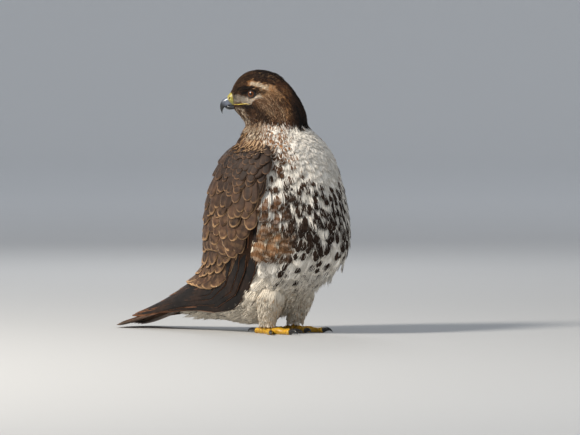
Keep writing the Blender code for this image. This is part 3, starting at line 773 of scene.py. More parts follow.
skinSettings = {
    # depth of the skin under the solids' surface, by place along the body
    "places": (0.0, 0.4, 1.5, 4.0, 8.0, 10.0, 11.5, 20.0, 26.0),
    "depths": (0.05, 0.07, 0.10, 0.16, 0.24, 0.34, 0.50, 0.45, 0.30),
    "faceEnd": (2.2, 0.0, -0.9),
    "armUnder": 0.55,
    "thighDepth": 0.35,
    # fleshy root of the tail: back y, back z, under y, under z, half width
    "tailRoot": np.array([(14.6, 7.6, 8.6, 1.9, 3.6), (15.8, 6.6, 12.0, 1.9, 3.2),
                          (17.2, 5.5, 15.0, 1.9, 2.7), (18.6, 4.6, 17.6, 2.2, 2.1),
                          (19.8, 3.9, 19.2, 2.6, 1.2)]),
}


def coatDepth(s):
    # the depth read between the named places
    return np.interp(s, skinSettings["places"], skinSettings["depths"])


def bodySkin():
    # the body's surface less the coat's depth, in the coat's mean colours
    a = np.concatenate([np.arange(0.0, 10.0, 0.1), np.arange(10.0, 21.01, 0.2)])
    b = np.linspace(0, 360, 144, endpoint=False)
    gridA, gridB = np.meshgrid(a, b, indexing="ij")
    place, _, _, out = readSurface(body, gridA, gridB)
    rings = place - out * coatDepth(gridA)[..., None]
    inner, outer, wide, _, _ = coatTones(gridA, gridB, place, 0.5)
    tone = mixTone(outer, inner, np.clip(0.25 + 0.6 * wide, 0, 1))
    return closedTube(rings, start=headPlace(*skinSettings["faceEnd"])), withEnds(tone)


def armSkin(surface):
    # a slab that wraps the flank: rounded over, flat under, closed at both ends
    t = np.concatenate([[1.35], np.linspace(1.5, 10.6, 38)])
    gridT, gridS = np.meshgrid(t, np.linspace(0.03, 0.97, 21), indexing="ij")
    place, _, _, out = readSurface(surface, gridT, gridS)
    crown = 1 - np.abs(2 * gridS - 1) ** 6
    over = place + out * (wingRead("arm", gridT) * (0.2 + 0.8 * crown) - 0.1)[..., None]
    under = place - skinSettings["armUnder"] * out
    return closedTube(np.concatenate([over, under[:, ::-1]], axis=1))


def thighSkin(surface):
    # the thigh's surface less the length of its down
    gridA, gridB = np.meshgrid(np.linspace(0.2, 4.8, 30), np.linspace(0, 360, 40, endpoint=False),
                               indexing="ij")
    place, _, _, out = readSurface(surface, gridA, gridB)
    return closedTube(place - skinSettings["thighDepth"] * out)


def tailSkin():
    # leaning ovals along the fleshy root of the tail
    rows = spline(skinSettings["tailRoot"], np.linspace(0, 1, 24) * 4)[:, None]
    return closedTube(np.stack(ovalSection(rows, circle(40) + 0 * rows[..., 0]), -1))


def makeSkinMaterial():
    # the mean colours of the coat above, with darker clouds
    look = Look("skin")
    tone = look.attribute("tone")
    dark = look.mix(1.0, tone, (0.55, 0.52, 0.5), "MULTIPLY")
    look.give({"Base Color": look.mix(look.ease(look.noise(420, 4), 0.3, 0.7), dark, tone),
               "Roughness": 0.85, "Specular IOR Level": 0.2})
    look.bump(look.noise(1500), 0.5, 0.0004)
    return look.material


def makeSkin():
    # body, arms, thighs and the tail's root as one piece
    layers = [bodySkin()]
    for side in ("Left", "Right"):
        layers.append((armSkin(wings[side]), tones["brown"]))
        layers.append((thighSkin(thighs[side]), tones["cream"]))
    layers.append((tailSkin(), tones["warmBrown"]))
    tone = np.concatenate([tone + np.zeros((len(shape[0]), 3)) for shape, tone in layers])
    skin = putMesh("skin", *joined([shape for shape, _ in layers]), makeSkinMaterial(),
                   colours={"tone": tone})
    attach(skin, "root")
    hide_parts("torso", "neck", "head", "thigh_left", "thigh_right", "wing_left",
                "wing_right", "tail")


makeSkin()
print("skin is made")


# feathers: rings of points along a shaft that follows the surface

def slide(slopeA, slopeB, move):
    # how much of each slope makes up a small move on the surface
    e, f, g = dot(slopeA, slopeA), dot(slopeA, slopeB), dot(slopeB, slopeB)
    p, q = dot(move, slopeA), dot(move, slopeB)
    area = np.maximum(e * g - f * f, 1e-12)
    return (g * p - f * q) / area, (e * q - f * p) / area


def walk(surface, a, b, turn, curl, length, shares):
    # steps from each root along the lie of the coat, led off it by turn and more by curl
    stepsA, stepsB = [a], [b]
    for share, step in zip(shares, np.diff(shares)):
        _, slopeA, slopeB, out = readSurface(surface, a, b)
        along = unit(slopeA)
        way = around(turn + curl * share, along, np.cross(along, out))
        moveA, moveB = slide(slopeA, slopeB, way * (length * step)[:, None])
        a, b = a + moveA, b + moveB
        stepsA.append(a)
        stepsB.append(b)
    return np.stack(stepsA, 1), np.stack(stepsB, 1)


# what a feather's root says where nothing else is given: its way, its heights over the surface at
# root and tip, its place in a fan of locks, its share of the fan's length, and its bends
plainRoot = {"turn": 0.0, "curl": 0.0, "rise": 0.0, "top": 0.0, "fan": 0.0, "fanHalf": 0.0,
             "reach": 1.0, "cup": 0.0, "tilt": 0.0, "lift": 0.0}


def growFeathers(surface, roots, form):
    # each ring lies across the shaft: its points spread by the width there, rise from the root's
    # height to the tip's, and are thickest in the middle. A hollow form has an under side too
    shares, widths = np.array(form["shares"]), np.array(form["widths"])
    columns = np.array(form["columns"])
    n = len(roots["a"])
    roots = {**plainRoot, **roots}
    r = {key: np.broadcast_to(np.asarray(roots[key], float), (n,))[:, None]
         for key in ("a", "b", "length", "half", *plainRoot)}
    a, b = walk(surface, *(r[key][:, 0] for key in ("a", "b", "turn", "curl")),
                (r["length"] * r["reach"])[:, 0], shares)
    place, slopeA, slopeB, out = readSurface(surface, a, b)
    ahead = np.concatenate([place[:, 1:], 2 * place[:, -1:] - place[:, -2:-1]], 1)
    behind = np.concatenate([2 * place[:, :1] - place[:, 1:2], place[:, :-1]], 1)
    side = unit(np.cross(ahead - behind, out))
    v = r["reach"] * shares
    # the fan opens from its root and draws in a little at the tip
    opened = 0.3 + 0.7 * np.sin(np.minimum(v / 0.6, 1) * math.pi / 2) - 0.25 * ease(v, 0.6, 1.0)
    middle = r["fan"] * r["fanHalf"] * opened
    wander = np.random.default_rng(n).normal(0, form.get("wander", 0.0),
                                             (n, len(shares), len(columns)))
    lateral = middle[..., None] + (r["half"] * widths)[..., None] * columns * (1 + wander)
    moveA, moveB = slide(slopeA[:, :, None], slopeB[:, :, None],
                         side[:, :, None] * lateral[..., None])
    place, _, _, out = readSurface(surface, a[..., None] + moveA, b[..., None] + moveB)
    span = np.maximum(r["fanHalf"], r["half"])
    u = r["fan"] * r["fanHalf"] / span + r["half"] / span * columns
    height = r["rise"] + (r["top"] - r["rise"]) * v ** 0.8 + r["lift"] * v ** 3
    height = height[..., None] - (r["cup"] * u ** 2)[:, None] + (r["tilt"] * u)[:, None]
    thick = form["thick"] * np.sqrt(widths)[:, None] * (1 - columns ** 2)
    hollow = form.get("hollow", False)
    ring = place + out * (height + (0.5 if hollow else 1.0) * thick)[..., None]
    uRing = u
    if hollow:
        under = (place + out * (height - 0.5 * thick)[..., None])[:, :, -2:0:-1]
        ring = np.concatenate([ring, under], axis=2)
        uRing = np.concatenate([u, u[:, -2:0:-1]], axis=1)
    if "floor" in form:
        ring[..., 2] = np.maximum(ring[..., 2], form["floor"])
    return ring[:, :-1], ring[:, -1, len(columns) // 2], uRing, v


def featherFaces(count, rings, ring):
    # quads round each pair of rings, a fan at the tip and one at the root, for every feather
    quads, tips = sheetFaces(rings, ring, True, last=rings * ring)
    i = np.arange(ring)
    caps = np.stack([0 * i[2:], i[2:], i[1:-1]], -1)
    base = np.arange(count)[:, None, None] * (rings * ring + 1)
    return (quads + base).reshape(-1, 4), (np.concatenate([tips, caps]) + base).reshape(-1, 3)


def featherBatch(surface, roots, form, cell=(0.01, 0.99, 0.01, 0.99), patch=0.003):
    # points, faces and colours of one kind of feather. The bake map gives each a small patch,
    # laid out in its cell by the places of the roots
    rings, tips, u, v = growFeathers(surface, roots, form)
    count, stations, ring = rings.shape[:3]
    points = np.concatenate([rings.reshape(count, -1, 3), tips[:, None]], axis=1).reshape(-1, 3)
    quads, tris = featherFaces(count, stations, ring)
    each = stations * ring + 1
    uv = np.zeros((count, each, 2))
    uv[:, :-1, 0] = np.tile(u, (1, stations)) / 2 + 0.5
    uv[:, :-1, 1] = np.repeat(v[:, :-1], ring, axis=1)
    uv[:, -1, 0] = u[:, len(form["columns"]) // 2] / 2 + 0.5
    uv[:, -1, 1] = v[:, -1]
    a, b = roots["a"], np.mod(roots["b"], 360) if surface["wrap"] else roots["b"]
    across = (b - b.min()) / max(np.ptp(b), 1e-9)
    along = (a - a.min()) / max(np.ptp(a), 1e-9)
    home = np.stack([blend(cell[0], cell[1], across), blend(cell[2], cell[3], along)], -1)
    marks = np.stack([np.broadcast_to(roots[key], (count,)).astype(float)
                      for key in ("spotWide", "spotLong", "bars", "spotAt")], 1)
    return {
        "points": points, "quads": quads, "tris": tris, "feather": uv.reshape(-1, 2),
        "bake": (home[:, None] + (uv - 0.5) * patch).reshape(-1, 2),
        "inner": np.repeat(roots["inner"], each, axis=0),
        "outer": np.repeat(roots["outer"], each, axis=0),
        "marks": np.repeat(marks, each, axis=0),
    }


def makeCoat(name, batches, material):
    # several batches of feathers as one piece
    points, quads, tris = joined([(x["points"], x["quads"], x["tris"]) for x in batches])
    gather = {key: np.concatenate([x[key] for x in batches])
              for key in ("feather", "bake", "inner", "outer", "marks")}
    piece = putMesh(name, points, quads, tris, material,
                    uvs={"OFBake": gather["bake"], "feather": gather["feather"]},
                    colours={key: gather[key] for key in ("inner", "outer", "marks")})
    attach(piece, "root")
    print(f"{name}: {2 * len(quads) + len(tris)} triangles")


def scatter(surface, span, turn, gap, seed, tall=1.0):
    # even roots: of many random places spread by area, each cell of a net keeps the place nearest
    # its middle; the cells are one gap wide and tall times one gap high
    knots, tries = 181, 9
    rng = np.random.default_rng(seed)
    a, b = np.linspace(*span, knots), np.linspace(*turn, knots)
    gridA, gridB = np.meshgrid((a[1:] + a[:-1]) / 2, (b[1:] + b[:-1]) / 2, indexing="ij")
    _, slopeA, slopeB, _ = readSurface(surface, gridA, gridB)
    area = size(np.cross(slopeA, slopeB)).ravel() * (a[1] - a[0]) * (b[1] - b[0])
    count = int(area.sum() / gap ** 2 / tall * tries)
    pick = rng.choice(len(area), count, p=area / area.sum())
    pickA = gridA.ravel()[pick] + (rng.random(count) - 0.5) * (a[1] - a[0])
    pickB = gridB.ravel()[pick] + (rng.random(count) - 0.5) * (b[1] - b[0])
    place = readSurface(surface, pickA, pickB)[0] / (gap * np.array([1, 1, tall])) + rng.random(3)
    cell = np.floor(place)
    order = np.argsort(size(place - cell - 0.5))
    _, first = np.unique(cell[order], axis=0, return_index=True)
    keep = order[first]
    return pickA[keep], pickB[keep], rng


lockForm = {
    "shares": (0.0, 0.3, 0.6, 0.84, 1.0),
    "widths": (0.6, 1.0, 0.95, 0.6, 0.0),
    "columns": (-1.0, 0.0, 1.0),
    "thick": 0.04,
}
smallForm = {
    "shares": (0.0, 0.35, 0.75, 1.0),
    "widths": (0.6, 1.0, 0.8, 0.0),
    "columns": (-1.0, 0.0, 1.0),
    "thick": 0.03,
}
softForm = {
    "shares": (0.0, 0.3, 0.58, 0.78, 0.9, 0.97, 1.0),
    "widths": (0.4, 0.85, 1.0, 0.94, 0.74, 0.42, 0.0),
    "columns": (-1.0, -0.5, 0.0, 0.5, 1.0),
    "thick": 0.05,
}
broadForm = {
    "shares": (0.0, 0.25, 0.5, 0.7, 0.84, 0.93, 0.98, 1.0),
    "widths": (0.45, 0.8, 1.0, 1.0, 0.88, 0.66, 0.36, 0.0),
    "columns": (-1.0, -0.55, 0.0, 0.55, 1.0),
    "wander": 0.045,
    "thick": 0.05,
}


def asLocks(roots, locks, lockHalf, rng, ragged=0.16, rounded=0.22):
    # each feather becomes a fan of narrow locks, shorter towards its edges
    if locks == 1:
        return roots
    n = len(roots["a"])
    fan = np.tile(np.linspace(-1, 1, locks) * (1 - 0.6 / locks), n)
    fan = fan + rng.uniform(-0.25, 0.25, n * locks) / locks
    more = {key: np.repeat(np.broadcast_to(value, (n,) + np.shape(value)[1:]), locks, axis=0)
            for key, value in roots.items()}
    more["fan"] = fan
    more["fanHalf"] = more["half"]
    more["half"] = lockHalf * rng.uniform(0.8, 1.2, n * locks)
    more["reach"] = 1 - rounded * fan ** 2 - rng.uniform(0, ragged, n * locks)
    more["turn"] = more["turn"] + rng.normal(0, 0.05, n * locks)
    more["lift"] = more["lift"] + rng.uniform(-0.03, 0.05, n * locks) * more["length"]
    return more


def plainRoots(a, b, rng, kind):
    # the values that every feather of a kind shares, each varied a little
    n = len(a)
    return {
        "a": a, "b": b,
        "turn": rng.normal(0, kind["stray"], n),
        "curl": rng.normal(0, 0.15, n),
        "length": kind["length"] * rng.uniform(0.82, 1.15, n),
        "half": kind["half"] * rng.uniform(0.85, 1.15, n),
        "lift": rng.uniform(0, 1, n) ** 2 * kind["lift"],
        "top": kind["top"], "cup": kind.get("cup", 0.0), "spotAt": kind["spotAt"],
    }


def varied(colour, n, rng, much):
    # lighter and darker feathers side by side
    return colour * np.exp(rng.normal(0, much, n))[:, None]


def featherLook(name, gloss, barbs):
    # the vane's colours: a drop or field of the inner colour along the shaft, bars across it and
    # the outer colour at its edge, with fine barbs that lean off the shaft
    look = Look(name)
    across, v, _ = look.split(look.map("feather"))
    u = scaled(across, 2.0, -1.0)
    inner, outer = look.attribute("inner"), look.attribute("outer")
    wide, long, bars = look.split(look.attribute("marks"), "Color")
    spotAt = look.attribute("marks", "Alpha")
    cloud = look.noise(330, 2)
    ragged = scaled(cloud, 0.24, -0.12)
    taper = scaled(look.ease((v - spotAt) / long, -1.0, 0.0), 0.4, 0.6)
    # the drop is what lies inside an oval, squarer on firm feathers: the sum of two powers
    corner = 4.0 if gloss else 2.0
    offSide = abs((u + ragged) / (wide * taper)) ** corner
    offEnd = abs((scaled(ragged, 0.4, v) - spotAt) / long) ** corner
    inside = 1.0 - look.ease((offSide + offEnd) ** (1 / corner), 0.92, 1.04)
    colour = look.mix(inside, outer, inner)
    # bars: a wave along the shaft that bends back towards the edges
    wave = calc("SINE", scaled(v - spotAt, 27.0, abs(u) * -1.6) + cloud * 4.0)
    colour = look.mix(look.ease(wave, -0.1, 0.7) * bars * 0.75, colour, outer)
    # barbs and dust as lighter and darker lines
    lines = calc("SINE", v * barbs + abs(u) * (-0.45 * barbs))
    fine = look.noise(900)
    colour = look.shaded(colour, lines * 0.05 + scaled(fine, 0.44, 0.78))
    if gloss:
        # worn patches, and a darker streak beside the shaft
        streak = 1.0 - look.ease(abs(u + ragged * 1.5), 0.0, 0.7)
        patchy = look.ease(look.noise(110), 0.35, 0.65)
        worn = look.shaded(colour, scaled(patchy, 0.5, 0.85) - streak * 0.32)
        colour = look.mix(inside, colour, worn)
    shaft = (1.0 - look.ease(abs(u), 0.015, 0.05)) * ((1.0 - v) * gloss)
    look.give({"Base Color": look.mix(shaft, colour, tones["black"]),
               "Roughness": scaled(fine, 0.25, 0.68 - 0.25 * gloss),
               "Specular IOR Level": 0.14 + 0.12 * gloss,
               "Sheen Weight": 0.03, "Sheen Roughness": 0.5})
    look.bump(lines, 0.25, 0.00012)
    return look


softVane = featherLook("softFeather", 0.0, 90.0).material
firmVane = featherLook("firmFeather", 0.8, 170.0).material


# head coat: kinds of small feathers, each with its span along the body and its seed

headSettings = {
    "face": {"span": (0.0, 3.7), "seed": 11, "length": 0.34, "half": 0.050, "top": 0.012,
             "lift": 0.03, "gap": 0.108, "stray": 0.16, "spotAt": 0.5, "form": smallForm},
    "fringe": {"span": (0.02, 0.3), "seed": 15, "length": 0.26, "half": 0.032, "top": 0.05,
               "lift": 0.05, "gap": 0.075, "stray": 0.35, "spotAt": 0.5, "form": smallForm},
    "head": {"span": (3.3, 6.4), "seed": 12, "length": 0.74, "half": 0.088, "top": 0.02,
             "lift": 0.07, "gap": 0.172, "stray": 0.14, "spotAt": 0.5},
    "nape": {"span": (6.0, 9.4), "seed": 13, "length": 1.15, "half": 0.125, "top": 0.03,
             "lift": 0.11, "gap": 0.225, "stray": 0.12, "spotAt": 0.55},
    "neck": {"span": (8.9, 11.5), "seed": 14, "length": 2.2, "half": 0.38, "top": 0.05,
             "lift": 0.16, "cup": 0.02, "gap": 0.50, "locks": 7, "lockHalf": 0.072,
             "stray": 0.12, "spotAt": 0.74},
    "eyeClear": 0.60,
}


def roundEye(points, slopeA, out):
    # turns each feather's way so that it flows round the eye, as water flows round a post
    f, _, z = headView(points)
    r2 = np.maximum(f ** 2 + z ** 2, 0.2)
    a2 = 0.55 ** 2
    flowF = -(1 - a2 * (f ** 2 - z ** 2) / r2 ** 2)
    flowZ = a2 * 2 * f * z / r2 ** 2
    way = flowF[:, None] * headWay + flowZ[:, None] * upWay
    along = unit(slopeA)
    across = np.cross(along, out)
    turned = (np.arctan2(dot(way, across), dot(way, along))
              - np.arctan2(dot(-headWay, across), dot(-headWay, along)))
    turned = np.mod(turned + math.pi, 2 * math.pi) - math.pi
    return turned * np.exp(-np.maximum(np.sqrt(r2) - 1.2, 0) / 0.5)


def bodyRoots(kind, keep=None):
    # roots of one kind of feather on head and body, with their way, size and colours
    a, b, rng = scatter(body, kind["span"], kind.get("turn", (0, 360)), kind["gap"], kind["seed"],
                        kind.get("tall", 1.0))
    place, slopeA, _, out = readSurface(body, a, b)
    f, _, z = headView(place)
    clear = ~((np.hypot(f, z) < headSettings["eyeClear"]) & (a < 8))
    if keep is not None:
        clear &= keep(a, b)
    a, b, place, slopeA, out, f, z = (x[clear] for x in (a, b, place, slopeA, out, f, z))
    roots = plainRoots(a, b, rng, kind)
    roots["rise"] = -0.92 * coatDepth(a)
    if kind is headSettings["fringe"]:
        roots["turn"] = roots["turn"] + math.pi
        roots["length"] = roots["length"] * (1 + 0.9 * ease(-z, 1.3, 1.7))
    elif kind["span"][1] < 9:
        roots["turn"] = roots["turn"] + roundEye(place, slopeA, out)
        # thin bristles before the eye, and longer dark feathers that stand out as a brow
        lores = ease(capsule(f, z, (2.4, -0.5), (0.8, -0.8), 0.5), 0.3, 0.7)
        brow = ease(capsule(f, z, (1.3, 0.72), (-0.6, 0.85), 0.22), 0.3, 0.8)
        roots["half"] = roots["half"] * (1 - 0.5 * lores)
        roots["length"] = roots["length"] * (1 + 0.2 * lores + 0.35 * brow)
        roots["top"] = roots["top"] + 0.10 * brow
        crest = ease(capsule(f, z, (-3.2, 3.2), (-3.9, 2.8), 0.6), 0.2, 0.9)
        roots["lift"] = roots["lift"] + 0.16 * crest
    # the colours are those of the place that the feather's outer part covers
    chance = rng.random(len(a))
    shown = a + 0.75 * kind["length"] / size(slopeA)
    place = readSurface(body, shown, b)[0] + rng.normal(0, 0.07, place.shape)
    inner, outer, wide, roots["spotLong"], roots["bars"] = coatTones(shown, b, place, chance)
    roots["inner"] = varied(inner, len(a), rng, 0.16)
    roots["outer"] = varied(outer, len(a), rng, 0.10)
    roots["spotWide"] = np.maximum(wide, 0.02)
    return roots, rng


def lockBatch(kind, keep=None):
    # one kind of feather as locks, each fanned out where the kind says so
    roots, rng = bodyRoots(kind, keep)
    locks = asLocks(roots, kind.get("locks", 1), kind.get("lockHalf"), rng)
    return featherBatch(body, locks, kind.get("form", lockForm))


def makeHeadCoat():
    s = headSettings
    makeCoat("coatFace", [lockBatch(s["face"]), lockBatch(s["fringe"])], softVane)
    makeCoat("coatHead", [lockBatch(s["head"])], softVane)
    makeCoat("coatNape", [lockBatch(s["nape"])], softVane)
    makeCoat("coatNeck", [lockBatch(s["neck"])], softVane)


makeHeadCoat()
print("head coat is made")


# body coat: tall stretches the net of roots upwards, vane is the whole vane's share of the length

bodySettings = {
    "breast": {"span": (10.9, 14.4), "seed": 21, "length": 3.7, "half": 0.80, "top": 0.05,
               "lift": 0.08, "cup": 0.04, "gap": 0.94, "tall": 1.35, "locks": 16,
               "lockHalf": 0.066, "stray": 0.06, "spotAt": 0.84, "vane": 0.83, "ragged": 0.10},
    "belly": {"span": (13.9, 18.2), "seed": 22, "length": 4.6, "half": 0.96, "top": 0.06,
              "lift": 0.10, "cup": 0.05, "gap": 1.10, "tall": 1.45, "locks": 18,
              "lockHalf": 0.072, "stray": 0.06, "spotAt": 0.80, "vane": 0.94, "ragged": 0.06},
    "vent": {"span": (17.4, 21.6), "seed": 23, "length": 3.5, "half": 0.66, "top": 0.05,
             "lift": 0.18, "cup": 0.08, "gap": 0.90, "locks": 13, "lockHalf": 0.068,
             "stray": 0.10, "spotAt": 0.80},
    "apron": {"span": (16.4, 18.9), "seed": 26, "length": 3.2, "half": 0.60, "top": 0.18,
              "lift": 0.8, "cup": 0.05, "gap": 0.84, "locks": 12, "lockHalf": 0.062,
              "stray": 0.10, "spotAt": 0.80},
    "flank": {"span": (13.1, 15.5), "seed": 27, "length": 4.0, "half": 1.05, "top": 0.95,
              "lift": 0.35, "cup": 0.06, "gap": 1.2, "locks": 18, "lockHalf": 0.068,
              "stray": 0.14, "spotAt": 0.66, "vane": 0.84},
    "cape": {"span": (10.35, 11.5), "seed": 28, "length": 2.6, "half": 0.52, "top": 0.0,
             "lift": 0.10, "cup": 0.05, "gap": 0.62, "locks": 8, "lockHalf": 0.07,
             "stray": 0.10, "spotAt": 0.50, "vane": 0.9},
    "mantle": {"span": (10.9, 21.4), "turn": (-70, 70), "seed": 29, "length": 3.3, "half": 0.86,
               "top": 0.10, "lift": 0.10, "cup": 0.10, "gap": 1.05, "locks": 0, "stray": 0.08,
               "spotAt": 0.33},
    "thigh": {"span": (0.6, 4.6), "seeds": (24, 25), "length": 3.0, "half": 0.55, "top": 0.10,
              "lift": 0.16, "cup": 0.05, "gap": 0.66, "locks": 12, "lockHalf": 0.062,
              "stray": 0.09, "spotLong": 0.2, "spotAt": 0.8},
}


def outsideWing(a, b):
    # leaves out the places that the folded wings lie over, except near their edges
    t = a - neckFoot
    fromBack = awayFromBack(b)
    margin = 9 - 13 * ease(t, 4.6, 5.4)
    hidden = (fromBack > wingRead("back", t) + 9) & (fromBack < wingRead("front", t) - margin)
    return ~(hidden & (t > 1.9) & (t < 11))


def onFront(a, b):
    # breast, belly and sides
    return outsideWing(a, b) & (awayFromBreast(b) < 112)


def onMantle(a, b):
    # the back between the wings
    return outsideWing(a, b) & (awayFromBreast(b) > 106)


def onFlank(a, b):
    # a strip on and before the wing's front edge
    ahead = awayFromBack(b) - wingRead("front", a - neckFoot)
    return (ahead > -3) & (ahead < 24)


def onApron(a, b):
    # over the legs, wider further down
    return awayFromBreast(b) < 52 + 12 * ease(a, 16.8, 17.6)


def vaneAndLocks(kind, keep, shape=None):
    # one soft vane for each feather, with thin locks that fray its edge
    roots, rng = bodyRoots(kind, keep)
    if shape is not None:
        shape(roots, rng)
    vanes = dict(roots, reach=kind.get("vane", 0.96))
    if not kind["locks"]:
        return [featherBatch(body, vanes, broadForm, patch=0.006)]
    frayed = dict(roots, top=roots["top"] + 0.03, rise=roots["rise"] + 0.02)
    locks = asLocks(frayed, kind["locks"], kind["lockHalf"], rng, kind.get("ragged", 0.10), 0.14)
    return [featherBatch(body, vanes, softForm, patch=0.006),
            featherBatch(body, locks, lockForm, patch=0.006)]


def shag(roots, rng):
    # looser feathers low on the flanks, whose ends stand away, most on the left side
    t, away = roots["a"] - neckFoot, awayFromBreast(roots["b"])
    loose = ease(t, 4.6, 5.8) * ease(8.6 - t, 0, 1) * ease(away, 22, 50)
    left = np.mod(roots["b"], 360) < 180
    hang = ease(t, 4.6, 5.2) * ease(6.4 - t, 0, 0.6) * ease(away, 20, 34) * left
    roots["lift"] = roots["lift"] + (loose + 1.3 * hang) * rng.uniform(0.1, 0.9, len(t))
    roots["length"] = roots["length"] * (1 + 0.18 * hang)


def overWing(roots, rng):
    # flank feathers that lie on the wing's edge, rising to it from under the coat
    t = roots["a"] - neckFoot
    ahead = awayFromBack(roots["b"]) - wingRead("front", t)
    roots["top"] = 0.12 + (wingRead("cover", t) * 0.5 + 0.15) * ease(16 - ahead, 0, 14)
    tuft = ease(t, 4.0, 4.8)
    roots["spotWide"] = 0.84 + 0.3 * tuft + rng.uniform(-0.15, 0.15, len(t))
    roots["spotLong"] = 0.46 - 0.1 * tuft + rng.uniform(-0.04, 0.04, len(t))
    roots["spotAt"] = 0.82 - 0.06 * tuft + rng.uniform(-0.06, 0.06, len(t))
    roots["bars"] = (0.2 + 0.15 * tuft) * rng.uniform(0.5, 1.2, len(t))


def overShoulder(roots, _):
    # the neck's last feathers, laid over the top of the folded wings
    t = roots["a"] - neckFoot
    fromBack = awayFromBack(roots["b"])
    backEdge, frontEdge = wingRead("back", t + 0.6), wingRead("front", t + 0.6)
    onWing = ease(fromBack, backEdge - 14, backEdge) * ease(frontEdge + 12 - fromBack, 0, 14)
    backEdge, frontEdge = wingRead("back", t + 0.7), wingRead("front", t + 0.7)
    share = (fromBack - backEdge) / (frontEdge - backEdge)
    crown = 1 - 0.6 * np.abs(2 * np.clip(share, 0, 1) - 1) ** 4
    top = wingRead("cover", t + 0.75) * 0.95 * crown + 0.05
    roots["top"] = 0.05 + onWing * top * ease(t, 0.35, 0.65)
    roots["spotLong"] = np.maximum(roots["spotLong"], 0.40)
    roots["length"] = roots["length"] * (1 - 0.35 * onWing * ease(t, 0.7, 1.2))
    over = onWing * ease(t, 0.5, 0.9)
    roots["inner"] = mixTone(roots["inner"], tones["brown"], over)
    roots["outer"] = mixTone(roots["outer"], tones["fringe"], 0.85 * over)


def brownAbove(roots, rng):
    # scales of the mantle: dark brown with a dull edge, tawny on the rump
    n = len(roots["a"])
    down = ease(roots["a"], 12, 20)
    inner = mixTone(tones["darkBrown"], tones["brown"], down)
    outer = mixTone(tones["dullFringe"], tones["fringe"], 0.5 + 0.5 * down)
    roots["inner"], roots["outer"] = varied(inner, n, rng, 0.18), varied(outer, n, rng, 0.15)
    roots["spotWide"] = 0.92 + rng.uniform(-0.05, 0.04, n)
    roots["spotLong"] = 0.64 + rng.uniform(-0.02, 0.02, n)
    roots["bars"] = 0.1


def thighBatch(surface, seed):
    # short soft feathers on the leg, shortest above the foot
    kind = bodySettings["thigh"]
    a, b, rng = scatter(surface, kind["span"], (0, 360), kind["gap"], seed)
    n = len(a)
    roots = plainRoots(a, b, rng, kind)
    roots["length"] = roots["length"] * np.interp(a, (0, 3, 4.6), (1.0, 0.8, 0.42))
    roots["rise"] = -0.3
    roots["inner"] = varied(tones["buff"], n, rng, 0.08)
    roots["outer"] = varied(mixTone(tones["white"], tones["cream"], 0.6), n, rng, 0.05)
    roots["spotWide"] = np.where(rng.random(n) > 0.8, 0.12, 0.02)
    roots["spotLong"] = kind["spotLong"]
    roots["bars"] = 0.0
    return featherBatch(surface, asLocks(roots, kind["locks"], kind["lockHalf"], rng), lockForm)


def makeBodyCoat():
    s = bodySettings
    makeCoat("coatBreast", vaneAndLocks(s["breast"], onFront), softVane)
    makeCoat("coatBelly", vaneAndLocks(s["belly"], onFront, shag), softVane)
    makeCoat("coatVent", [lockBatch(s["vent"], onFront)], softVane)
    makeCoat("coatApron", [lockBatch(s["apron"], onApron)], softVane)
    makeCoat("coatFlanks", vaneAndLocks(s["flank"], onFlank, overWing), softVane)
    makeCoat("coatCape", vaneAndLocks(s["cape"], None, overShoulder), softVane)
    makeCoat("coatMantle", vaneAndLocks(s["mantle"], onMantle, brownAbove), firmVane)
    makeCoat("coatThighs", [thighBatch(thighs[side], seed) for side, seed
                            in zip(("Left", "Right"), s["thigh"]["seeds"])], softVane)


makeBodyCoat()
print("body coat is made")


# wings

flightForm = {
    "shares": (0.0, 0.12, 0.25, 0.38, 0.5, 0.62, 0.74, 0.84, 0.91, 0.96, 0.99, 1.0),
    "widths": (0.35, 0.6, 0.8, 0.92, 1.0, 1.0, 0.97, 0.88, 0.72, 0.5, 0.26, 0.0),
    "columns": (-1.0, -0.7, -0.35, 0.0, 0.35, 0.7, 1.0),
    "thick": 0.06,
    "hollow": True,
    "floor": 0.0,
}

# inner and outer colour, how far the inner one varies, length, bars and place of its field
blackVanes = ("black", "warmBrown", 0.10, 0.64, 0.10, 0.355)
brownVanes = ("brown", "fringe", 0.14, 0.62, 0.22, 0.37)

# tiers: first and last share of the wing's width, station of the roots and, feather by feather,
# of the tips, half width in cm, heights over the trunk at root and tip, backward lean of the
# front ones, and the tier's part of the bake map
flightTiers = {
    "primaries": {"share": (0.14, 0.99), "root": 4.5,
                  "tips": (11.9, 12.3, 12.8, 13.3, 13.8, 14.2, 14.5, 14.7, 14.5, 13.6),
                  "half": 0.95, "heights": (0.62, 0.14), "drift": 0.0, "tones": blackVanes,
                  "cell": (0.05, 0.95, 0.05, 0.28)},
    "secondaries": {"share": (0.0, 0.80), "root": 5.6,
                    "tips": (11.7, 11.75, 11.7, 11.6, 11.5, 11.4, 11.25, 11.0, 10.7, 10.3,
                             9.8, 9.2),
                    "half": 1.0, "heights": (0.40, 0.5), "drift": 0.27, "tones": brownVanes,
                    "cell": (0.05, 0.95, 0.36, 0.6)},
    "tertials": {"share": (-0.02, 0.72), "root": 4.8,
                 "tips": (10.6, 10.8, 10.6, 10.2, 9.7, 9.2, 8.6, 8.1),
                 "half": 1.05, "heights": (0.62, 0.66), "drift": 0.2, "tones": brownVanes,
                 "cell": (0.05, 0.95, 0.67, 0.78)},
    "inner": {"share": (-0.02, 0.76), "root": 4.2,
              "tips": (8.4, 9.3, 8.9, 9.0, 8.3, 8.2, 7.7, 7.5, 7.2),
              "half": 1.0, "heights": (0.8, 0.86), "drift": 0.12, "tones": brownVanes,
              "cell": (0.05, 0.95, 0.85, 0.96)},
}

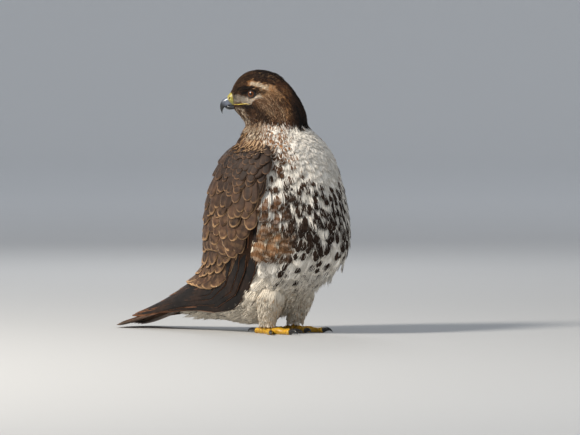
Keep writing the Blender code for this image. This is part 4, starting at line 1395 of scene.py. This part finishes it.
# rows of coverts from the shoulder down: small and dense first, then long and broad. Row by
# row: station of the roots, station of the tips, feathers across, first and last share
covertRows = (
    (1.25, 2.1, 12, 0.0, 1.0), (1.45, 2.35, 13, 0.0, 1.0), (1.65, 2.55, 13, 0.0, 1.0),
    (1.85, 2.8, 13, 0.0, 1.0), (2.05, 3.05, 13, 0.0, 1.0), (2.3, 3.3, 13, 0.0, 1.0),
    (2.5, 3.6, 13, 0.0, 1.0), (2.8, 3.95, 12, 0.0, 1.0), (3.1, 4.35, 12, 0.0, 1.0),
    (3.4, 4.8, 11, 0.0, 1.0), (3.75, 5.25, 11, 0.0, 0.97), (4.1, 5.7, 10, 0.0, 0.91),
    (4.5, 6.2, 10, 0.0, 0.85), (4.9, 6.75, 9, 0.05, 0.80),
)
# rows of feathers from the shoulder blade: stations of roots and tips, feathers across
scapularRows = (
    (1.5, 2.6, 3), (1.9, 3.2, 3), (2.4, 3.9, 4), (2.9, 4.6, 4), (3.5, 5.4, 4), (4.1, 6.2, 4),
    (4.8, 7.1, 4), (5.6, 8.1, 4),
)


def stationLength(surface, a, b, end):
    # the way over the surface from each root to the station where its tip lies
    steps = 24
    total = np.zeros(len(a))
    for k in range(steps):
        here = a + (end - a) * (k + 0.5) / steps
        total += size(readSurface(surface, here, b)[1]) * (end - a) / steps
    return total


def wingRoots(a, b, length, half, rise, top, rng, stray=0.05):
    # the values that all broad feathers share, with a little chance in way, width and lift
    n = len(a)
    return {
        "a": a, "b": b, "turn": rng.normal(0, stray, n), "curl": rng.normal(0, stray, n),
        "length": length, "half": half * rng.uniform(0.93, 1.07, n), "rise": rise, "top": top,
        "cup": 0.07 * half, "tilt": 0.05, "lift": rng.uniform(0, 0.06, n),
    }


def flightBatch(surface, tier, rng, front):
    # one tier of long feathers, from the wing's back edge to its front edge
    count = len(tier["tips"])
    share = blend(*tier["share"], (np.arange(count) + 0.5) / count)
    a = tier["root"] + rng.uniform(-0.1, 0.1, count)
    end = np.array(tier["tips"]) + rng.uniform(-0.06, 0.06, count)
    roots = wingRoots(a, share, stationLength(surface, a, share, end), tier["half"],
                      *tier["heights"], rng, 0.015)
    # each lies over the next one forward like a roof tile, and the front ones lean back
    roots["tilt"] = 0.09 * front
    roots["rise"] = roots["rise"] - 0.012 * np.arange(count)
    roots["turn"] = roots["turn"] - front * tier["drift"] * np.clip(share, 0, 1)
    inner, outer, much, roots["spotLong"], roots["bars"], roots["spotAt"] = tier["tones"]
    roots["inner"] = varied(tones[inner], count, rng, much)
    roots["outer"] = varied(tones[outer], count, rng, 0.1)
    roots["spotWide"] = 0.93
    return featherBatch(surface, roots, flightForm, tier["cell"], 0.03)


def staggered(count, k):
    # even shares from 0 to 1, every other row set half a step over
    return (np.arange(count) + 0.25 + 0.5 * (k % 2)) / count


def covertBatch(surface, rng):
    # the wing's coverts: each row lies over the one below, and all crown over the arm
    a, b, end, wide = [], [], [], []
    for k, (root, tip, count, first, last) in enumerate(covertRows):
        share = blend(first, last, staggered(count, k)) + rng.uniform(-0.28, 0.28, count) / count
        a.append(root + 0.3 * (1 - share) * (root < 2.5) + rng.uniform(-0.06, 0.06, count))
        b.append(share)
        end.append(tip + rng.uniform(-0.16, 0.16, count))
        wide.append(rng.uniform(0.88, 1.12, count) / count)
    a, b, end, wide = (np.concatenate(x) for x in (a, b, end, wide))
    n = len(a)
    half = size(readSurface(surface, (a + end) / 2, b)[2]) * wide * 0.80
    crown = 1 - 0.45 * np.abs(2 * np.clip(b, 0, 1) - 1) ** 5
    top = wingRead("cover", end) * crown
    rise = np.minimum(wingRead("arm", a) * crown - 0.05, top - 0.25)
    roots = wingRoots(a, b, stationLength(surface, a, b, end), half, rise, top, rng, 0.10)
    down = ease(end, 2.6, 6.0)
    pale = (rng.random(n) < 0.1 * down)[:, None]
    outer = mixTone(tones["dullFringe"], tones["fringe"], down)
    roots["inner"] = varied(mixTone(tones["darkBrown"], tones["brown"], down), n, rng, 0.2)
    roots["outer"] = varied(np.where(pale, tones["paleFringe"], outer), n, rng, 0.16)
    # a quarter of them are worn, with hardly any edge left
    worn = rng.random(n) < 0.25
    roots["spotWide"] = 0.945 + rng.uniform(-0.03, 0.03, n) + 0.1 * worn
    roots["spotLong"] = 0.632 + rng.uniform(-0.02, 0.01, n) + 0.05 * worn
    roots["spotAt"] = 0.34
    roots["bars"] = 0.12 * down
    return featherBatch(surface, roots, broadForm, (0.02, 0.98, 0.02, 0.64), 0.028)


def scapularBatch(surface, rng):
    # broad rounded feathers from the shoulder blade, over the wing's back edge
    a, b, end = [], [], []
    for k, (root, tip, count) in enumerate(scapularRows):
        share = -0.06 + 0.44 * staggered(count, k)
        a.append(root + rng.uniform(-0.08, 0.08, count))
        b.append(share + rng.uniform(-0.02, 0.02, count))
        end.append(tip + rng.uniform(-0.12, 0.12, count))
    a, b, end = (np.concatenate(x) for x in (a, b, end))
    n = len(a)
    top = wingRead("cover", end) * np.interp(b, (-0.06, 0.1, 0.5), (0.75, 1.05, 1.08))
    rise = wingRead("cover", a) * np.interp(b, (-0.06, 0.1, 0.3), (0.2, 0.6, 0.8)) - 0.1
    roots = wingRoots(a, b, stationLength(surface, a, b, end), 0.95 + 0.35 * ease(a, 2, 5),
                      np.minimum(top - 0.35, rise), top + 0.08, rng, 0.08)
    outer = mixTone(tones["dullFringe"], tones["fringe"], ease(end, 3, 6))
    roots["inner"] = varied(mixTone(tones["darkBrown"], tones["brown"], 0.5), n, rng, 0.2)
    roots["outer"] = varied(outer, n, rng, 0.18)
    roots["spotWide"] = 0.93 + rng.uniform(-0.05, 0.04, n)
    roots["spotLong"] = 0.63 + rng.uniform(-0.02, 0.02, n)
    roots["spotAt"] = 0.34
    roots["bars"] = 0.15
    return featherBatch(surface, roots, broadForm, (0.02, 0.98, 0.68, 0.98), 0.028)


def makeWings():
    # front says on which side of a feather's way the wing's front edge lies, because the right
    # wing mirrors the left one
    for side, front in (("Left", 1), ("Right", -1)):
        rng = np.random.default_rng(40)
        surface = wings[side]
        flight = [flightBatch(surface, tier, rng, front) for tier in flightTiers.values()]
        coverts = [covertBatch(surface, rng), scapularBatch(surface, rng)]
        makeCoat(f"flight{side}", flight, firmVane)
        makeCoat(f"coverts{side}", coverts, firmVane)


makeWings()
print("wings are made")


# tail

def tailCovertBatch(rng):
    # two rows over the fleshy root, the upper one last so that it lies on the other
    lower, upper = 7, 6
    n = lower + upper
    a = np.repeat([0.10, 0.02], [lower, upper]) + rng.uniform(-0.01, 0.01, n)
    b = np.concatenate([np.linspace(-1.7, 1.7, lower), np.linspace(-1.3, 1.3, upper)])
    above = np.arange(n) >= lower
    sink = 0.22 * b ** 2
    roots = wingRoots(a, b, rng.uniform(6.2, 6.9, n), 1.05, np.where(above, 2.7, 2.2) - sink,
                      np.where(above, 1.3, 0.7) - 0.6 * sink, rng, 0.04)
    roots["inner"] = varied(mixTone(tones["brown"], tones["warmBrown"], 0.5), n, rng, 0.12)
    roots["outer"] = varied(tones["paleFringe"], n, rng, 0.1)
    roots["spotWide"] = 0.9 + rng.uniform(-0.05, 0.04, n)
    roots.update(spotLong=0.62, spotAt=0.33, bars=0.3)
    return featherBatch(tailPlane, roots, broadForm, (0.1, 0.9, 0.1, 0.9), 0.05)


def tailMaterial():
    # rufous above with a dark band before the pale tip, paler and greyer on the under side
    look = featherLook("tailFeather", 0.7, 260.0)
    colour = Wire(look.shader.inputs["Base Color"].links[0].from_socket)
    v = scaled(look.noise(260, 2), 0.03, look.split(look.map("feather"))[1])
    band = look.ease(v, 0.885, 0.9) * (1.0 - look.ease(v, 0.945, 0.96))
    colour = look.mix(band * 0.9, colour, tones["black"])
    up = look.split(look.node("NewGeometry", "Normal"))[2]
    under = 1.0 - look.ease(up, -0.2, 0.2)
    look.give({"Base Color": look.mix(under * 0.75, colour, paint("a99583"))})
    return look.material


def makeTail():
    # twelve feathers in a closed fan, the middle pair on top, lying down to the floor
    s = tailSettings
    rng = np.random.default_rng(60)
    n = 2 * s["pairs"]
    side = np.tile([-1.0, 1.0], s["pairs"])
    pair = np.repeat(np.arange(s["pairs"], dtype=float), 2)
    level = -0.11 * (pair + np.where(side > 0, 0.5, 0.0)) + 0.36
    line = tailLine(np.linspace(s["rootShare"], 1.0, 200))
    whole = np.sum(size(np.diff(line, axis=0)))
    roots = {
        "a": np.full(n, s["rootShare"]), "b": side * (0.35 + 0.55 * pair) * 0.42,
        "turn": np.arctan2(side * (0.35 + 0.55 * pair) * 0.62, 17.0),
        "length": whole * (1 - 0.012 * pair), "half": s["half"], "rise": level, "top": level,
        "cup": 0.05, "tilt": 0.02 * side,
        "inner": varied(paint(s["inner"]), n, rng, 0.12),
        "outer": varied(paint(s["outer"]), n, rng, 0.08),
        "spotWide": 0.93, "spotLong": 0.66, "bars": 0.0, "spotAt": 0.335,
    }
    form = dict(flightForm, widths=s["widths"])
    batch = featherBatch(tailPlane, roots, form, (0.08, 0.92, 0.5, 0.5), 0.05)
    makeCoat("tailFeathers", [batch], tailMaterial())
    makeCoat("tailCoverts", [tailCovertBatch(rng)], firmVane)


makeTail()
print("tail is made")


# bill, cere and mouth

billSettings = {
    # ridge f, ridge z, edge f, edge z, half width
    "cere": np.array([(2.70, 0.33, 2.40, -1.61, 0.95), (2.78, 0.26, 2.47, -1.62, 0.92),
                      (3.05, 0.02, 2.80, -1.64, 0.86), (3.34, -0.36, 3.12, -1.66, 0.76),
                      (3.40, -0.44, 3.18, -1.67, 0.72)]),
    "upper": np.array([(3.28, -0.32, 3.05, -1.66, 0.76), (3.85, -0.68, 3.40, -1.76, 0.60),
                       (4.20, -1.10, 3.62, -1.86, 0.45), (4.37, -1.62, 3.80, -1.98, 0.31),
                       (4.33, -2.15, 3.96, -2.22, 0.19), (4.16, -2.60, 4.02, -2.56, 0.09),
                       (4.05, -2.82, 4.01, -2.80, 0.03)]),
    "upperTip": (4.03, 0.0, -2.88),
    "lower": np.array([(2.40, -1.58, 2.36, -2.20, 0.80), (2.95, -1.60, 2.95, -2.26, 0.70),
                       (3.36, -1.68, 3.34, -2.18, 0.54), (3.58, -1.80, 3.56, -2.04, 0.30)]),
    "lowerTip": (3.66, 0.0, -1.94),
    "nostril": (3.00, -0.60),
    # the line of the mouth: f, z and radius
    "mouth": np.array([(2.75, -1.46, 0.02), (2.45, -1.48, 0.055), (2.1, -1.49, 0.065),
                       (1.54, -1.48, 0.07), (1.1, -1.42, 0.08), (0.6, -1.40, 0.075),
                       (0.15, -1.50, 0.02)]),
    "skinYellow": paint("a59a38"), "skinGreen": paint("848446"), "hornGrey": paint("626978"),
    "hornBlack": paint("141518"), "jawGrey": paint("2b2e34"), "hole": paint("0c0a08"),
    # hole is painted shade: the near-black inside of each nostril
    "gapeYellow": paint("cdb53a"), "gapeGreen": paint("a09540"), "cleftShade": paint("2a2018"),
# the last colour, cleftShade, is painted shade for the closed line of the mouth
}


def headSide(f, z):
    # half width of the head at a point of the side view, found between the crown and the throat
    f, z = np.asarray(f, float), np.asarray(z, float)
    low, high = np.zeros_like(f), np.full_like(f, 10.0)
    for _ in range(40):
        t = (low + high) / 2
        rows = spline(headTable, t)
        middle, reach = middleAndReach(rows)
        across = reach[..., 0] * (z - middle[..., 1]) - reach[..., 1] * (f - middle[..., 0])
        low, high = np.where(across < 0, t, low), np.where(across < 0, high, t)
    share = dot(np.stack([f, z], -1) - middle, reach) / dot(reach, reach)
    return (rows[..., 4] + faceRelief(f, z)) * np.sqrt(np.maximum(1 - share ** 2, 0))


def tubeMap(turn, along, end=1.0):
    # the map of a closed tube: once round it across, and from base to tip along
    uv = np.stack(np.broadcast_arrays(turn, along), -1).reshape(-1, 2)
    return np.concatenate([uv, [[0.5, 0.0], [0.5, end]]])


def billRings(table, edge, rows=40, columns=48, soft=0.55):
    # ovals squared off towards the mouth, which lies below them (edge -1) or above them (edge 1)
    t = np.linspace(0, len(table) - 1, rows)
    row = spline(table, t)[:, None]
    turn = circle(columns)
    rise, wide = np.cos(turn), np.sin(turn)
    mouth = rise * edge > 1e-6
    riseOut = np.where(mouth, np.sign(rise) * np.abs(rise) ** soft, rise)
    wideOut = np.sign(wide) * np.abs(wide) ** np.where(mouth, 0.4, 0.8)
    middle, reach = middleAndReach(row)
    spot = middle + reach * riseOut[:, None]
    uv = tubeMap(turn / (2 * math.pi), t[:, None] / (len(table) - 1))
    return spot[..., 0], row[..., 4] * wideOut, spot[..., 1], uv


def hornMaterial(name, pale, dark, tipAlong):
    # horn with growth lines, pale at the base and black at the tip, by the piece's own UV
    look = Look(name)
    along = scaled(look.noise(500), 0.12, look.split(look.map("horn"))[1])
    lines = look.noise(1400, stretch=(1.0, 1.0, 0.35))
    colour = look.mix(look.ease(along, *tipAlong), pale, dark)
    look.give({"Base Color": look.shaded(colour, scaled(lines, 0.5, 0.72)),
               "Roughness": scaled(lines, 0.25, 0.2), "Coat Weight": 0.3, "Coat Roughness": 0.15})
    look.bump(lines, 0.2, 0.0002)
    return look.material


def waxyMaterial(name, scale, wet=0.25):
    # bare skin: the piece's own colours with fine folds and blotches
    look = Look(name)
    tone = look.attribute("tone")
    blotched = look.mix(1.0, tone, (0.74, 0.68, 0.62), "MULTIPLY")
    fine = look.noise(scale * 5)
    look.give({"Base Color": look.mix(look.ease(look.noise(scale, 4), 0.32, 0.68), tone, blotched),
               "Roughness": scaled(fine, 0.3, 0.32), "Subsurface Weight": 0.08,
               "Subsurface Scale": 0.002, "Coat Weight": wet, "Coat Roughness": 0.3})
    look.bump(fine, 0.3, 0.0003)
    return look.material


def putBill(name, table, edge, tip, material, nodes, nostrils=False):
    # one part of the bill: its ovals closed at both ends, with its map and colours
    s = billSettings
    f, side, z, uv = billRings(table, edge)
    tone = np.ones((*side.shape, 3))
    if nostrils:
        # an oval hollow on each side, in yellow skin that turns to grey horn below and before it
        away = ((f - s["nostril"][0]) / 0.13) ** 2 + ((z - s["nostril"][1]) / 0.10) ** 2
        hole = np.exp(-away ** 1.5)
        side = side - np.sign(side) * 0.24 * hole
        side = side + np.sign(side) * 0.05 * np.exp(-away / 3.5) * (1 - hole)
        horn = ease(f + 0.5 * ease(-z, 0.5, 1.5) + 0.25 * ease(-z, 1.2, 1.6), 3.28, 3.42)
        tone = mixTone(s["skinYellow"], s["skinGreen"], ease(-z, 0.2, 1.3))
        # the middle of each hollow is painted near-black, as painted shade inside the nostril
        tone = mixTone(mixTone(tone, s["hornGrey"], horn), s["hole"], ease(hole, 0.25, 0.7))
    points, quads, tris = closedTube(headPlace(f, side, z), headPlace(*tip) if tip else None)
    piece = putMesh(name, points, quads, tris, material, uvs={"horn": uv},
                    colours={"tone": withEnds(tone)})
    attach(piece, "root")
    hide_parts(*nodes)


def makeMouth(material):
    # the yellow gape: a soft strip from the bill's corner back under the eye, on both sides
    s = billSettings
    share, marks = np.linspace(0, 1, 40), np.linspace(0, 1, len(s["mouth"]))
    f, z, radius = (np.interp(share, marks, column)[:, None] for column in s["mouth"].T)
    f, z = smoothed(f, 6), smoothed(z, 6)
    turn = circle(16)
    wide = np.maximum(headSide(f, z), np.interp(f, (2.4, 2.5, 2.9), (0.0, 0.92, 0.84)))
    # yellow above, and painted shade in the cleft of the mouth below
    dark = ease(-np.sin(turn), 0.15, 0.75)[None]
    tone = mixTone(s["gapeYellow"], s["gapeGreen"], ease(f, 1.8, 2.7))
    tone = withEnds(mixTone(tone, s["cleftShade"], dark))
    shapes = [closedTube(headPlace(f + 0 * turn,
                                   side * (wide - 0.01 + radius * np.cos(turn) * 0.8),
                                   z + radius * np.sin(turn) * 0.85)) for side in (-1, 1)]
    piece = putMesh("gape", *joined(shapes), material,
                    colours={"tone": np.concatenate([tone, tone])})
    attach(piece, "root")


def makeBill():
    s = billSettings
    upper = hornMaterial("billHorn", s["hornGrey"], s["hornBlack"], (0.10, 0.58))
    lower = hornMaterial("jawHorn", s["jawGrey"], s["hornBlack"], (0.1, 0.7))
    putBill("cere", s["cere"], -1, None, waxyMaterial("cereSkin", 420), ["cere"], nostrils=True)
    putBill("billUpper", s["upper"], -1, s["upperTip"], upper, ["beak_upper"])
    putBill("billLower", s["lower"], 1, s["lowerTip"], lower, ["beak_lower"])
    makeMouth(waxyMaterial("gapeSkin", 300))


makeBill()
print("bill is made")


# eyes and lids

eyeSettings = {
    "radius": 0.88, "sink": 0.64, "swell": 0.05,
    "pupil": 0.215, "iris": 0.425,
    "lidLong": 0.62, "lidUp": 0.42, "lidDown": 0.50, "lidThick": 0.045,
    "irisDark": paint("3a1c0a"), "irisPale": paint("824818"),
    # dark lid skin; the darker tone is laid along the top as painted shade of the brow
    "lidPale": paint("2a241b"), "lidDark": paint("120f0d"),
}


def eyePlace(side):
    # centre of the ball and the way it looks, square to the face there
    slope = float(headSide(0.9, 0.0) - headSide(-0.9, 0.0)) / 1.8
    look = unit(side * headLeft - slope * headWay)
    spot = headPlace(0.0, side * headSide(0.0, 0.0), 0.0)
    return spot - eyeSettings["sink"] * look, look


def eyeMaterial():
    # by distance from the middle: black pupil, brown iris with fine spokes, and a dark rim
    s = eyeSettings
    look = Look("eye")
    place = look.map("eye")
    away = look.split(place)[1]
    stretched = look.node("Mapping", 0, {"Vector": place, "Scale": (60.0, 6.0, 1.0)})
    spokes = look.node("TexNoise", "Fac", {"Vector": stretched, "Scale": 1.0, "Detail": 2.0})
    iris = look.mix(look.ease(spokes, 0.35, 0.7), s["irisDark"], s["irisPale"])
    colour = look.mix(look.ease(away, s["pupil"] - 0.01, s["pupil"] + 0.02),
                      (0.004, 0.004, 0.004), iris)
    colour = look.mix(look.ease(away, s["iris"] - 0.05, s["iris"] + 0.03), colour,
                      (0.012, 0.009, 0.008))
    look.give({"Base Color": colour, "Roughness": scaled(spokes, 0.2, 0.3),
               "Specular IOR Level": 0.1, "Coat Weight": 1.0, "Coat Roughness": 0.02,
               "Coat IOR": 1.33})
    return look.material


def eyeBall(centre, look, across, over):
    # a ball that swells a little in front, its rings closer together there
    s = eyeSettings
    theta = np.concatenate([np.linspace(0.02, 1.0, 40), np.linspace(1.06, math.pi - 0.05, 24)])
    turn = circle(64)
    radius = s["radius"] + s["swell"] * np.exp(-(theta / 0.4) ** 2)
    way = around(theta[:, None], look, around(turn, across, over)[None])
    shape = closedTube(centre + radius[:, None, None] * way, centre - s["radius"] * look,
                       centre + (s["radius"] + s["swell"]) * look)
    flat = s["radius"] * np.sin(np.minimum(theta, 1.5))
    return shape, tubeMap(turn / (2 * math.pi), flat[:, None], 0.9)


def lidRing(centre, look, across, over):
    # a soft ring on the ball, thicker above, pulled to a point before and behind
    s = eyeSettings
    turn, lean = circle(72), circle(14)
    upright = np.where(np.sin(turn) > 0, s["lidUp"], s["lidDown"])
    reach = upright + (s["lidLong"] - upright) * np.abs(np.cos(turn)) ** 1.5
    thick = s["lidThick"] * (1 + 0.5 * ease(np.sin(turn), 0.2, 0.9))
    theta = np.arcsin(reach / s["radius"])
    spoke = around(turn, across, over)
    outward, along = around(theta, look, spoke), around(theta, spoke, -look)
    section = around(lean, 1.3 * along[:, None], 0.8 * outward[:, None])
    rings = (centre + s["radius"] * outward)[:, None] + thick[:, None, None] * section
    # the last ring is the first again, so the faces between them are numbered back to it
    quads = sheetFaces(len(turn) + 1, len(lean), True)[0] % (len(turn) * len(lean))
    points = rings.reshape(-1, 3)
    quads, tris = turnOutwards(points - centre, quads, np.zeros((0, 3), int))
    # the ring is darker above than below: painted shade of the brow on the upper lid
    tone = mixTone(s["lidPale"], s["lidDark"], ease(np.sin(turn), -0.7, 0.3))
    return (points, quads, tris), np.repeat(tone, len(lean), axis=0)


def makeEyes():
    # ball and lids on both sides, set square to the face
    ball = eyeMaterial()
    lidSkin = waxyMaterial("lidSkin", 600, 0.1)
    for side, label in ((1, "Left"), (-1, "Right")):
        centre, look = eyePlace(side)
        across = unit(np.cross(upWay, look))
        over = np.cross(look, across)
        shape, uv = eyeBall(centre, look, across, over)
        eye = putMesh(f"eye{label}", *shape, ball, uvs={"eye": uv})
        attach(eye, "root")
        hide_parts("eye_left" if side > 0 else "eye_right")
        shape, tone = lidRing(centre, look, across, over)
        lid = putMesh(f"lid{label}", *shape, lidSkin, colours={"tone": tone})
        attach(lid, "root")


makeEyes()
print("eyes are made")


# legs, feet and claws

legSettings = {
    "x": 3.2, "y": 0.45, "splay": 8.0,
    # name, heading from straight ahead, length, radius, claw length
    "toes": (("middle", 0.0, 4.6, 0.50, 2.1), ("inner", 34.0, 3.3, 0.52, 2.5),
             ("outer", -38.0, 3.8, 0.44, 1.8), ("hind", 176.0, 2.5, 0.52, 2.7)),
    # bare shank: heights and radii
    "shankHeights": (0.0, 0.35, 0.8, 1.12, 1.5, 1.9),
    "shankRadii": (0.5, 0.70, 0.70, 0.56, 0.54, 0.56),
    "plateGap": 0.3, "toePlates": 0.035, "legPlates": 0.03,
    # soleShade is painted shade for the toes' under sides
    "yellow": paint("d8a61c"), "seam": paint("6e4f10"), "soleShade": paint("b08a2a"),
    "clawPale": paint("2a2624"), "clawDark": paint("0d0c0c"),
}


def toeWay(side, heading):
    # a level way, turned from straight ahead by the splay less the heading
    turn = math.radians(side * (legSettings["splay"] - heading))
    return np.array([math.sin(turn), -math.cos(turn), 0.0])


def toeShape(hip, way, length, radius):
    # a tube with knuckles, plates across the top, and pads underneath, flat on the floor
    s = legSettings
    share, turn = np.linspace(0, 1, 140), circle(32)
    knuckle = 1 + 0.12 * np.cos(4 * math.pi * share) - 0.3 * share ** 2
    close = np.sqrt(np.clip(1 - np.maximum((share - 0.93) / 0.08, 0) ** 2, 0.05, 1))
    r = radius * knuckle * close
    ribs = np.abs(np.sin(share * length * math.pi / s["plateGap"])) ** 0.45
    upper = ease(np.sin(turn), -0.1, 0.4)
    pads = 0.07 * np.cos(6 * math.pi * share)
    full = r[:, None] * (1 + s["toePlates"] * ribs[:, None] * upper + pads[:, None] * (1 - upper))
    middle = (hip + way * (length * share)[:, None]
              + upWay * (radius * (0.92 - 0.25 * share))[:, None])
    rings = middle[:, None] + full[..., None] * around(turn, np.cross(way, upWay), upWay)
    rings[..., 2] = np.maximum(rings[..., 2], 0.0)
    tone = mixTone(s["yellow"], s["seam"], 0.8 * (1 - ease(ribs, 0.25, 0.8))[:, None] * upper)
    # the under side of each toe is darkened with painted shade
    return closedTube(rings), withEnds(mixTone(tone, s["soleShade"], 0.6 * (1 - upper)))


def legShape(hip):
    # bare shank and the palm under it, with plates down the front
    s = legSettings
    z, turn = np.linspace(1.9, 0.02, 90)[:, None], circle(36)
    ribs = np.abs(np.sin(z * math.pi / s["plateGap"])) ** 0.5
    front = ease(-np.sin(turn), -0.2, 0.5)
    r = np.interp(z, s["shankHeights"], s["shankRadii"]) * (1 + s["legPlates"] * ribs * front)
    rings = np.stack([hip[0] + r * np.cos(turn), hip[1] + r * np.sin(turn), z + 0 * turn], -1)
    seam = (1 - ease(ribs, 0.25, 0.8)) * front
    return closedTube(rings), withEnds(mixTone(s["yellow"], s["seam"], 0.7 * seam))


def clawShape(root, way, radius, length):
    # a tapered hook: forward, up and over, then down to just above the floor
    share, turn = np.linspace(0, 1, 36), circle(20)
    reach = 0.05 + length * 0.72 * np.sin(1.35 * share) / math.sin(1.35)
    rise = 0.36 + 0.26 * np.sin(2.6 * share) - 0.36 * share ** 2 - 0.06 * share ** 6
    r = radius * (1 - share) ** 0.75 * (1 + 0.1 * np.exp(-(share / 0.08) ** 2)) + 0.004
    path = root + way * reach[:, None] + upWay * rise[:, None]
    ahead = unit(np.gradient(path, axis=0))
    across = unit(np.cross(ahead, upWay))
    section = around(turn, 0.85 * across[:, None], 1.05 * np.cross(across, ahead)[:, None])
    rings = path[:, None] + r[:, None, None] * section
    rings[..., 2] = np.maximum(rings[..., 2], 0.02)
    return closedTube(rings), tubeMap(np.arange(20) / 20, share[:, None])


def makeFeet():
    # on each side the shank, palm and toes as one piece, and each claw by itself
    s = legSettings
    yellow = waxyMaterial("footSkin", 260, 0.2)
    claw = hornMaterial("clawHorn", s["clawPale"], s["clawDark"], (0.0, 0.5))
    for side, label, cadLabel in ((1, "Left", "left"), (-1, "Right", "right")):
        hip = np.array([side * s["x"], s["y"], 0.0])
        limbs = [legShape(hip)]
        for name, heading, length, radius, clawLength in s["toes"]:
            way = toeWay(side, heading)
            limbs.append(toeShape(hip, way, length, radius))
            hook, uv = clawShape(hip + way * (length - 0.06), way, radius * 0.62, clawLength)
            piece = putMesh(f"claw{label}{name.capitalize()}", *hook, claw, uvs={"horn": uv})
            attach(piece, "root")
            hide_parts(f"claw_{cadLabel}_{name}")
        foot = putMesh(f"foot{label}", *joined([shape for shape, _ in limbs]), yellow,
                       colours={"tone": np.concatenate([tone for _, tone in limbs])})
        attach(foot, "root")
        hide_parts(f"foot_{cadLabel}", f"shank_{cadLabel}")


makeFeet()
print("feet are made")
